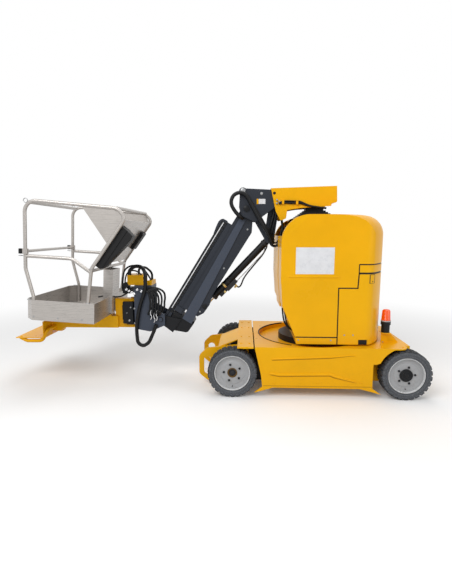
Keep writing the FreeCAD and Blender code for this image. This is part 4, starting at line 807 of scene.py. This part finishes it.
class LIFT_OT_beacon(bpy.types.Operator):
    """Moulds the amber lamp with its ribbed lens, clamp ring, screws and gusset"""

    bl_idname = "lift.beacon"
    bl_label = "Beacon"

    def execute(self, context):
        low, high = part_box("beacon_lens")
        centre = (low + high) / 2
        radius, tall = (high.x - low.x) / 2, high.z - low.z
        bm = bmesh.new()
        ribs = 9
        outline = [(0.0, 0.0), (radius * 0.98, 0.0)]
        for k in range(ribs):
            height = tall * (0.06 + 0.72 * k / ribs)
            outline += [(radius * (0.99 - 0.012 * k), height),
                        (radius * (0.94 - 0.012 * k), height + tall * 0.04)]
        outline += [(radius * 0.86, tall * 0.82), (radius * 0.76, tall * 0.92),
                    (radius * 0.52, tall * 0.98), (0, tall)]
        ring_place = Matrix.Translation((centre.x, centre.y, low.z))
        turned(bm, outline, ring_place, 48)
        lens = shape("beacon_lens_ribbed", bm, "amber", "chassis", smooth=30)
        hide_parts("beacon_lens")
        bm = bmesh.new()
        turned(bm, [(radius * 0.90, -0.004), (radius * 1.04, -0.004), (radius * 1.06, 0.004),
                    (radius * 1.02, 0.010), (radius * 0.985, 0.010)], ring_place, 48)
        shape("beacon_clamp_ring", bm, "rim", "chassis", smooth=30)
        bm = bmesh.new()
        screw_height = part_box("beacon_socket")[0].z + 0.03
        for k in range(3):
            angle = math.tau * k / 3 + 0.4
            out = Vector((math.cos(angle), math.sin(angle), 0))
            bolt(bm, Vector((centre.x, centre.y, screw_height)) + out * 0.024, out, 0.004, 0.004)
        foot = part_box("beacon_bracket")[0].z
        for x, y in ((-0.03, -0.03), (0.03, 0.03)):
            bolt(bm, (centre.x + x, centre.y + y, foot + 0.008), UP, 0.006, 0.005)
        shape("beacon_screws", bm, "steel", "chassis", smooth=30)
        bm = bmesh.new()
        gusset = [(0.026, 0.0), (0.085, 0.0), (0.030, 0.060), (0.022, 0.060)]
        sheet(bm, gusset, 0.006, on_edge(0.003, Matrix.Translation((centre.x, centre.y, foot + 0.003))))
        shape("beacon_gusset", bm, "yellow", "chassis")
        return {"FINISHED"}


# ---------------------------------------------------------------- mast head, jib and ram


# x, z and share of the second hose's rise, along the side of the head
HEAD_RUN = ((-0.375, 1.866, 0.4), (-0.329, 1.880, 0.8), (-0.240, 1.872, 1.0), (-0.160, 1.876, 0.7),
            (-0.115, 1.858, 0.4), (-0.060, 1.842, 0.2), (0.020, 1.830, 0.2), (0.095, 1.822, 0.1))
# radius and guide points of the loops that hang from the head
HEAD_HOSES = {
    "jib_loop_hose": (0.019, (
        (-0.735, -0.150, 1.725), (-0.770, -0.190, 1.745), (-0.820, -0.190, 1.800),
        (-0.858, -0.190, 1.870), (-0.840, -0.190, 1.945), (-0.778, -0.190, 1.982),
        (-0.705, -0.190, 1.965), (-0.650, -0.190, 1.860), (-0.583, -0.190, 1.736),
        (-0.496, -0.190, 1.600), (-0.450, -0.170, 1.520), (-0.425, -0.140, 1.470))),
    "jib_loop_hose_2": (0.014, (
        (-0.700, -0.172, 1.930), (-0.660, -0.176, 1.900), (-0.600, -0.178, 1.800),
        (-0.520, -0.178, 1.668), (-0.450, -0.170, 1.560), (-0.418, -0.150, 1.500))),
    "head_hose_back": (0.012, (
        (-0.351, -0.120, 1.802), (-0.338, -0.120, 1.700), (-0.322, -0.120, 1.600),
        (-0.335, -0.120, 1.500), (-0.370, -0.110, 1.440))),
    "head_hose_drop": (0.013, (
        (-0.403, -0.100, 1.860), (-0.420, -0.110, 1.760), (-0.455, -0.110, 1.640),
        (-0.466, -0.110, 1.520), (-0.440, -0.110, 1.450), (-0.390, -0.110, 1.440),
        (-0.345, -0.110, 1.490), (-0.330, -0.110, 1.590), (-0.300, -0.100, 1.640),
        (-0.262, -0.090, 1.660))),
    "head_hose_drop_2": (0.009, (
        (-0.385, -0.130, 1.855), (-0.400, -0.130, 1.750), (-0.430, -0.130, 1.620),
        (-0.440, -0.130, 1.530), (-0.415, -0.130, 1.475), (-0.380, -0.130, 1.480),
        (-0.355, -0.130, 1.540), (-0.330, -0.120, 1.640))),
}


class LIFT_OT_head(bpy.types.Operator):
    """Fits the mast head with a black disc of painted shade for its hole, fittings, hoses, clips and blank
    plate
    """

    bl_idname = "lift.head"
    bl_label = "Mast head"

    def execute(self, context):
        half = -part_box("mast_head")[0].y
        dark, pale, plate, clip = (bmesh.new() for k in range(4))
        for side in (-1, 1):
            # the hole is a shallow black cup: painted shade standing in for its depth
            hole = facing(-0.421, half, 1.972, side)
            turned(dark, [(0.015, 0.0006), (0.015, -0.002), (0, -0.002)], hole, 28)
            turned(dark, [(0.0, 0.0008), (0.015, 0.0008), (0.015, -0.002)], hole, 28)
            bolt(pale, mid(-0.548, side * 0.160, 1.970), (0, side, 0), 0.009, 0.007)
            cap(pale, (0.024, 0.006, 0.019, 0.008), facing(-0.735, 0.168, 1.999, side), 32)
            cap(dark, (0.030, 0.004, 0.024, 0.007),
                stood(JIB_PIN + Vector((0, side * 0.172, 0)), (0, side, 0)), 32)
        y = -0.1615
        block(plate, mid(-0.576, y, 1.867), mid(-0.509, y + 0.0015, 1.917))
        block(clip, mid(-0.596, y, 1.867), mid(-0.577, y + 0.0015, 1.917))
        for k, (x, z) in enumerate(((-0.395, 1.905), (-0.372, 1.888), (-0.395, 1.872))):
            place = facing(x, half, z, -1)
            turned(pale, [(0.010, 0.0), (0.010, 0.012), (0.007, 0.014), (0.007, 0.024), (0, 0.024)], place,
                   6, 0.3 * k)
        for x, z in ((-0.196, 1.877), (-0.335, 1.882)):
            block(clip, mid(x - 0.011, -0.196, z - 0.018), mid(x + 0.011, -half + 0.001, z + 0.018))
        shape("head_hole_painted_shade_and_pin_caps", dark, "black", "mast_head")
        shape("head_bolts", pale, "steel", "mast_head", smooth=30)
        shape("head_blank_plate", plate, "label", "mast_head", edge=0.0005)
        shape("head_hose_clips", clip, "yellow", "mast_head", edge=0.002)
        for number, (rise, radius) in enumerate(((0.0, 0.010), (0.020, 0.007))):
            places = [(x, -0.182, z + rise * fade) for x, z, fade in HEAD_RUN]
            run = hose(f"head_hose_run_{number}", mids(*places), radius, "hose", "mast_head")
            if number == 0:
                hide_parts("head_hose")
        for name, (radius, places) in HEAD_HOSES.items():
            hose(name, mids(*places), radius, "hose", "mast_head")
        return {"FINISHED"}


class LIFT_OT_jib(bpy.types.Operator):
    """Dresses the jib: its chain links, near-white strips of painted light between them, side bands of
    painted sky reflection, bolts and tray hood
    """

    bl_idname = "lift.jib"
    bl_label = "Jib"

    def execute(self, context):
        pitch = context.scene.lift_sizes.link_pitch
        tray_start, tray_length = -0.225, 1.15
        pale, heads, links, dark, bands, cover = (bmesh.new() for k in range(6))
        for side in (-1, 1):
            # near-white strips between the chain runs: painted light where the backdrop shows through the gap
            y = layer(side, 0.0945, 0.0962)
            block(pale, (-1.300, y[0], 0.1238), (-0.240, y[1], 0.1322), JIB)
            y = layer(side, 0.0944, 0.0962)
            for k in range(int(tray_length / pitch)):
                x = tray_start - pitch * (k + 0.5)
                block(links, (x - pitch * 0.42, y[0], 0.0960), (x + pitch * 0.42, y[1], 0.1215), JIB)
                block(links, (x - pitch * 0.42, y[0], 0.1350), (x + pitch * 0.42, y[1], 0.1520), JIB)
                turned(links, [(0.006, 0.0), (0.006, 0.003), (0.0, 0.003)],
                       JIB @ stood((x + pitch * 0.30, side * 0.0955, 0.1085), (0, side, 0)), 12)
            for x, z in ((-0.170, -0.120), (-0.640, -0.125), (-1.170, -0.150)):
                place = JIB @ stood((x, side * 0.112, z), (0, side, 0))
                bolt(heads, place.translation, (0, side, 0), 0.006, 0.005)
            # thin bands on the jib's sides in the paler copy of the charcoal: painted reflection of the sky
            y = side * 0.121 if side > 0 else -0.1222
            band = [(-0.108, 0.010), (-1.332, -0.028), (-1.332, -0.142), (-0.098, -0.054)]
            sheet(bands, band, 0.0012, on_edge(y + 0.0012, JIB))
            cap(dark, (0.026, 0.005, 0.020, 0.007),
                JIB @ stood((-1.095, side * 0.116, -0.164), (0, side, 0)), 32)
            y = layer(side, 0.1100, 0.1108)
            block(dark, (-1.296, y[0], 0.004), (-1.244, y[1], 0.012), JIB)
        shape("jib_painted_light_strips", pale, "bright", "jib")
        shape("jib_bolts", heads, "steel", "jib", smooth=30)
        shape("jib_chain_links", links, "plastic", "jib", edge=0.0008)
        shape("jib_collar_slots", dark, "black", "jib")
        shape("jib_painted_sky_sheen_bands", bands, "painted_sky_sheen", "jib")
        hood = [(-0.205, 0.100), (-0.207, 0.150), (-0.222, 0.170), (-0.260, 0.180), (-0.320, 0.173),
                (-0.400, 0.158), (-0.400, 0.100)]
        sheet(cover, hood, 0.180, on_edge(0.090, JIB))
        shape("jib_tray_hood", cover, "charcoal", "jib", edge=0.012, smooth=50)
        return {"FINISHED"}


# radius, finish and guide points in the ram's own frame
RAM_HOSES = {
    "ram_pipe": (0.0045, "steel", (
        (0.100, -0.036, -0.010), (0.130, -0.060, -0.012), (0.200, -0.062, -0.012),
        (0.500, -0.066, -0.012), (0.585, -0.066, -0.012))),
    "ram_hose": (0.008, "hose", (
        (0.600, -0.108, -0.012), (0.600, -0.128, -0.012), (0.560, -0.130, -0.012),
        (0.480, -0.092, -0.010), (0.300, -0.078, -0.010), (0.140, -0.070, -0.010),
        (0.070, -0.040, -0.010))),
}


class LIFT_OT_ram(bpy.types.Operator):
    """Dresses the lift ram: its gland, pipe, valve block, bands and hoses"""

    bl_idname = "lift.ram"
    bl_label = "Lift ram"

    def execute(self, context):
        along = RAM @ Matrix.Rotation(math.pi / 2, 4, "Y")
        near = RAM.to_3x3() @ Vector((0, -1, 0))
        steel, zinc = bmesh.new(), bmesh.new()
        for x, radius, long in ((0.835, 0.045, 0.030), (0.060, 0.043, 0.024), (0.62, 0.0405, 0.018)):
            turned(steel, [(0.030, 0.0), (radius, 0.0), (radius, long), (0.030, long)],
                   along @ Matrix.Translation((0, 0, x)), 40)
        block(steel, (0.560, -0.078, -0.030), (0.700, -0.030, 0.030), RAM)
        block(steel, (0.700, -0.066, -0.024), (0.800, -0.030, 0.024), RAM)
        cap(zinc, (0.014, 0.014, 0.009, 0.016), stood(RAM @ Vector((0.730, -0.055, -0.024)), (0, -1, 0)), 6)
        cap(zinc, (0.011, 0.030, 0.007, 0.034), stood(RAM @ Vector((0.600, -0.078, -0.012)), near), 6)
        turned(zinc, [(0.038, 0.0), (0.0415, 0.0), (0.0415, 0.020), (0.038, 0.020)],
               along @ Matrix.Translation((0, 0, 0.675)), 40)
        cap(zinc, (0.013, 0.018, 0.009, 0.020), stood(RAM @ Vector((0.620, -0.088, 0)), near), 6)
        shape("ram_collars", steel, "cast_iron_and_shade", "lift_barrel", smooth=30)
        shape("ram_zinc_bands", zinc, "zinc", "lift_barrel", smooth=30)
        for name, (radius, finish, places) in RAM_HOSES.items():
            hose(name, [RAM @ Vector(place) for place in places], radius, finish, "lift_barrel")
        return {"FINISHED"}


# ---------------------------------------------------------------- upright and basket


# radius and guide points of the hoses that arch over the upright
UPRIGHT_HOSES = {
    "arch_hose_outer": (0.009, (
        (-2.030, -0.060, 0.960), (-2.030, -0.060, 1.080), (-2.005, -0.060, 1.190),
        (-1.925, -0.060, 1.238), (-1.830, -0.058, 1.225), (-1.760, -0.055, 1.160),
        (-1.715, -0.050, 1.070))),
    "arch_hose_inner": (0.008, (
        (-1.990, -0.085, 0.960), (-2.000, -0.085, 1.060), (-1.965, -0.085, 1.170),
        (-1.880, -0.085, 1.190), (-1.800, -0.080, 1.130), (-1.765, -0.080, 1.040))),
}
# the cable between the upright and the basket
ARM_CABLE = ((-2.300, -0.060, 0.890), (-2.224, -0.066, 0.905), (-2.150, -0.074, 0.900),
             (-2.090, -0.080, 0.893),
             (-2.030, -0.090, 0.905), (-1.990, -0.100, 0.930), (-1.950, -0.110, 0.950))


class LIFT_OT_upright(bpy.types.Operator):
    """Dresses the basket upright: its hose fan, fittings, swing motor and cables"""

    bl_idname = "lift.upright"
    bl_label = "Basket upright"

    def execute(self, context):
        face = 0.140
        fittings, heads, motor, pale = (bmesh.new() for k in range(4))
        for number, (x, z) in enumerate(((-1.959, 0.988), (-1.932, 0.972), (-1.905, 0.955), (-1.878, 0.939),
                                         (-1.845, 0.985), (-1.800, 0.968))):
            place = facing(x, face, z, -1)
            turned(fittings, [(0.012, 0.0), (0.012, 0.010), (0.008, 0.012), (0.008, 0.020), (0.011, 0.021),
                              (0.011, 0.030), (0, 0.030)], place, 6, 0.25 * number)
        for side in (-1, 1):
            for x, z in ((-1.885, 0.62), (-1.885, 0.78)):
                bolt(heads, mid(x, side * face, z), (0, side, 0), 0.006, 0.005)
            cap(motor, (0.026, 0.006, 0.020, 0.008),
                stood(NECK_PIN + Vector((0, side * face, 0)), (0, side, 0)), 32)
        for x, y, z in ((-1.90, 0.05, 1.134), (-1.86, -0.05, 1.134), (-1.83, 0.02, 1.134)):
            bolt(heads, mid(x, y, z), UP, 0.007, 0.006)
        block(motor, mid(-2.030, -0.085, 0.600), mid(-1.915, 0.085, 0.842))
        block(motor, mid(-2.044, -0.060, 0.640), mid(-2.028, 0.060, 0.800))
        block(motor, mid(-2.020, -0.100, 0.935), mid(-1.925, 0.060, 0.995))
        turned(motor, [(0.0, 0.0), (0.034, 0.0), (0.034, 0.080), (0.026, 0.092), (0.0, 0.092)],
               stood(mid(-1.985, -0.100, 1.020), (0, 1, 0)), 28)
        for x, z, radius in ((-1.941, 0.781, 0.009), (-1.959, 0.636, 0.011), (-1.985, 0.720, 0.006)):
            cap(pale, (radius, 0.004, radius * 0.7, 0.006), facing(x, 0.085, z, -1), 20)
        shape("upright_fittings", fittings, "chrome", "upright", smooth=30)
        shape("upright_bolts", heads, "steel", "upright", smooth=30)
        shape("swing_motor", motor, "black", "upright", edge=0.006)
        shape("swing_motor_plugs", pale, "steel", "upright", smooth=30)
        for name, (radius, places) in UPRIGHT_HOSES.items():
            hose(name, mids(*places), radius, "hose", "upright")
        near = -0.168
        fan = (((-1.705, 1.005), (-1.545, 0.925), (-1.555, 0.760)),
               ((-1.715, 1.000), (-1.580, 0.905), (-1.590, 0.720)),
               ((-1.728, 0.992), (-1.612, 0.890), (-1.622, 0.695)),
               ((-1.742, 0.985), (-1.642, 0.875), (-1.652, 0.690)),
               ((-1.758, 0.975), (-1.672, 0.860), (-1.682, 0.700)),
               ((-1.772, 0.965), (-1.700, 0.850), (-1.708, 0.730)))
        for number, (start, belly, foot) in enumerate(fan):
            places = [(start[0], -0.150, start[1]), (start[0] + 0.05, near, start[1] + 0.012),
                      (belly[0] - 0.01, near, belly[1] + 0.05), (belly[0], near, belly[1] - 0.02),
                      (foot[0], near, foot[1] + 0.10), (foot[0], near, foot[1] + 0.04),
                      (foot[0] - 0.03, -0.146, foot[1] - 0.01)]
            hose(f"side_hose_{number}", mids(*places), 0.0105, "hose", "upright")
        # thin near-white strokes over the hose fan: painted glints
        for number, (x, z) in enumerate(((-1.700, 0.770), (-1.665, 0.740), (-1.640, 0.760))):
            places = [(x, -0.158, z), (x - 0.015, -0.166, z - 0.04), (x + 0.012, -0.166, z - 0.075),
                      (x - 0.008, -0.160, z - 0.105)]
            hose(f"tie_tail_{number}", mids(*places), 0.004, "bright", "upright")
        hose("arm_cable_high", mids(*ARM_CABLE), 0.008, "hose", "upright", "basket")
        return {"FINISHED"}


def torus(bm, place, radius, thick, sides=24, turns=8):
    """Round ring of round bar."""
    section = [(radius + thick * math.cos(b), thick * math.sin(b))
               for b in (math.tau * j / turns for j in range(turns))]
    rows = [[bm.verts.new(place @ Vector((reach * math.cos(a), reach * math.sin(a), height)))
             for reach, height in section] for a in (math.tau * k / sides for k in range(sides))]
    for k in range(sides):
        low, high = rows[k], rows[(k + 1) % sides]
        for j in range(turns):
            bm.faces.new((low[j], high[j], high[(j + 1) % turns], low[(j + 1) % turns]))


class LIFT_OT_basket(bpy.types.Operator):
    """Dresses the basket: welds, harness rings, sleeves, console covers, stay neck and floor grip"""

    bl_idname = "lift.basket"
    bl_label = "Basket"

    def execute(self, context):
        tube, rail = 0.017, 0.529
        welds, rings, sleeves, heads, treads, covers = (bmesh.new() for k in range(6))
        for side in (-1, 1):
            y = side * rail
            for x, z in ((-0.730, 0.622), (-0.652, 0.200), (-0.070, 0.200), (-0.040, 0.537)):
                torus(welds, BASKET @ stood((x, y, z), UP), tube + 0.001, 0.003)
            torus(rings, BASKET @ stood((-0.6755, y, 1.1445), (0, 1, 0)), 0.020, 0.004)
            turned(sleeves, [(0.0, -0.002), (tube + 0.003, 0.0), (tube + 0.003, 0.045), (tube, 0.048)],
                   BASKET @ stood((-0.730, y, 0.641), UP), 24)
            out = BASKET.to_3x3() @ Vector((0, side, 0))
            for x in (-0.60, -0.36, -0.12):
                bolt(heads, BASKET @ Vector((x, side * 0.550, 0.035)), out, 0.006, 0.004)
        run, drop = math.cos(CONSOLE_SLOPE), math.sin(CONSOLE_SLOPE)
        console = BASKET @ Matrix(((-run, 0, drop, 0.280), (0, 1, 0, 0), (-drop, 0, -run, 1.034),
                                   (0, 0, 0, 1)))
        case = [(0.090, 0.060), (0.105, 0.140), (0.150, 0.148), (0.520, 0.088), (0.545, 0.060)]
        sheet(covers, case, 0.110, on_edge(-0.392, console))
        block(covers, (0.170, 0.345, 0.041), (0.360, 0.450, 0.046), console)
        stay = [(-0.068, 0.440), (-0.068, 0.560), (-0.030, 0.610), (-0.026, 0.606), (-0.063, 0.557),
                (-0.063, 0.440)]
        sheet(treads, stay, 0.230, on_edge(0.115, BASKET))
        shape("console_covers", covers, "plastic", "basket", edge=0.006)
        shape("basket_welds", welds, "steel", "basket", smooth=60)
        shape("basket_rings", rings, "steel", "basket", smooth=60)
        shape("basket_sleeves", sleeves, "plastic", "basket", smooth=30)
        shape("basket_bolts", heads, "steel", "basket", smooth=30)
        for k in range(9):
            for j in range(13):
                x, y = -0.63 + 0.07 * k, -0.48 + 0.08 * j
                turn = math.radians(45 if (k + j) % 2 else -45)
                place = BASKET @ Matrix.Translation((x, y, 0.0)) @ Matrix.Rotation(turn, 4, "Z")
                block(treads, (-0.016, -0.003, 0.0035), (0.016, 0.003, 0.0055), place)
        shape("basket_floor_grip", treads, "stainless", "basket", edge=0.0008)
        return {"FINISHED"}


# ---------------------------------------------------------------- stage


def soft_light(name, at, towards, size, power):
    data = bpy.data.lights.new(name, "AREA")
    data.shape = "DISK"
    data.size = size
    data.energy = power
    lamp = linked(name, data)
    lamp.location = at
    lamp.rotation_euler = (Vector(towards) - Vector(at)).to_track_quat("-Z", "Y").to_euler()


def seen_directly(tree):
    """1 for rays that come from the camera or from a mirror or glass surface, else 0."""
    path = add_node(tree, "ShaderNodeLightPath")
    first = add_node(tree, "ShaderNodeMath", {"operation": "MAXIMUM"}, _0=path.outputs["Is Camera Ray"],
                     _1=path.outputs["Is Glossy Ray"])
    return add_node(tree, "ShaderNodeMath", {"operation": "MAXIMUM"}, _0=first.outputs[0],
                    _1=path.outputs["Is Transmission Ray"]).outputs[0]


class LIFT_OT_stage(bpy.types.Operator):
    """Lays the pale floor, the soft lights and the camera"""

    bl_idname = "lift.stage"
    bl_label = "Stage"

    def execute(self, context):
        scene = context.scene
        scene.view_settings.view_transform = "Standard"
        mesh = bpy.data.meshes.new("studio_floor")
        reach = 60.0
        mesh.from_pydata([(-reach, -reach, 0), (reach, -reach, 0), (reach, reach, 0), (-reach, reach, 0)],
                         [],
                         [(0, 1, 2, 3)])
        floor = linked("studio_floor", mesh)
        material, tree, out = new_material("pale_studio_floor")
        matt = add_node(tree, "ShaderNodeBsdfDiffuse", {"Color": (0.95, 0.95, 0.95, 1)})
        bounce = add_node(tree, "ShaderNodeBsdfDiffuse", {"Color": (0.72, 0.72, 0.72, 1)})
        lift = add_node(tree, "ShaderNodeEmission", {"Color": (1, 1, 1, 1), "Strength": 0.05})
        near = add_node(tree, "ShaderNodeAddShader", _0=matt.outputs[0], _1=lift.outputs[0])
        haze = add_node(tree, "ShaderNodeEmission", {"Color": (1, 1, 1, 1), "Strength": 1.0})
        place = add_node(tree, "ShaderNodeTexCoord").outputs["Object"]
        away = add_node(tree, "ShaderNodeVectorMath", {"operation": "LENGTH"}, _0=place).outputs["Value"]
        fade = add_node(tree, "ShaderNodeMapRange", {1: 2.2, 2: 6.5, "interpolation_type": "SMOOTHSTEP"},
                        Value=away)
        cover = add_node(tree, "ShaderNodeMixShader", Fac=fade.outputs[0], _1=near.outputs[0],
                         _2=haze.outputs[0])
        both = add_node(tree, "ShaderNodeMixShader", Fac=seen_directly(tree), _1=bounce.outputs[0],
                        _2=cover.outputs[0])
        tree.links.new(both.outputs[0], out.inputs[0])
        mesh.materials.append(material)

        world = bpy.data.worlds.new("soft_studio")
        world.use_nodes = True
        tree = world.node_tree
        tree.nodes.clear()
        out = add_node(tree, "ShaderNodeOutputWorld")
        ambient = add_node(tree, "ShaderNodeBackground", {"Color": (1, 1, 1, 1), "Strength": 0.38})
        white = add_node(tree, "ShaderNodeBackground", {"Color": (1, 1, 1, 1), "Strength": 1.0})
        both = add_node(tree, "ShaderNodeMixShader", Fac=seen_directly(tree), _1=ambient.outputs[0],
                        _2=white.outputs[0])
        tree.links.new(both.outputs[0], out.inputs[0])
        scene.world = world

        middle = (0.2, 0.0, 0.9)
        soft_light("key_light", (-2.5, -5.0, 5.5), middle, 4.5, 285)
        soft_light("fill_light", (5.5, -4.0, 3.0), middle, 4.0, 95)
        soft_light("top_light", (0.5, 1.5, 6.5), middle, 5.0, 150)

        data = bpy.data.cameras.new("catalogue_camera")
        data.sensor_width = 36.0
        data.lens = 24.4541096
        data.clip_end = 200
        camera = linked("catalogue_camera", data)
        camera.location = (0.3215, -4.253, 1.575)
        yaw, pitch = math.radians(2.72), math.radians(8.42)
        ahead = Vector((-math.sin(yaw) * math.cos(pitch), math.cos(yaw) * math.cos(pitch),
                        -math.sin(pitch)))
        camera.rotation_euler = ahead.to_track_quat("-Z", "Y").to_euler()
        scene.camera = camera
        return {"FINISHED"}


STEPS = (LIFT_OT_stage, LIFT_OT_finishes, LIFT_OT_tyres, LIFT_OT_rims, LIFT_OT_chassis, LIFT_OT_covers,
         LIFT_OT_beacon, LIFT_OT_head, LIFT_OT_jib, LIFT_OT_ram, LIFT_OT_upright, LIFT_OT_basket)


class LIFT_PT_panel(bpy.types.Panel):
    """Lists the steps of the dressing in the sidebar"""

    bl_label = "Mast Lift"
    bl_idname = "LIFT_PT_panel"
    bl_space_type = "VIEW_3D"
    bl_region_type = "UI"
    bl_category = "Mast Lift"

    def draw(self, context):
        for step in STEPS:
            self.layout.operator(step.bl_idname)


CLASSES = (LiftSizes, LiftColours, *STEPS, LIFT_PT_panel)


def register():
    for item in CLASSES:
        bpy.utils.register_class(item)
    bpy.types.Scene.lift_sizes = PointerProperty(type=LiftSizes)
    bpy.types.Scene.lift_colours = PointerProperty(type=LiftColours)


def unregister():
    del bpy.types.Scene.lift_colours
    del bpy.types.Scene.lift_sizes
    for item in reversed(CLASSES):
        bpy.utils.unregister_class(item)


def main():
    register()
    for step in STEPS:
        group, name = step.bl_idname.split(".")
        getattr(getattr(bpy.ops, group), name)()


if __name__ == "__main__":
    main()
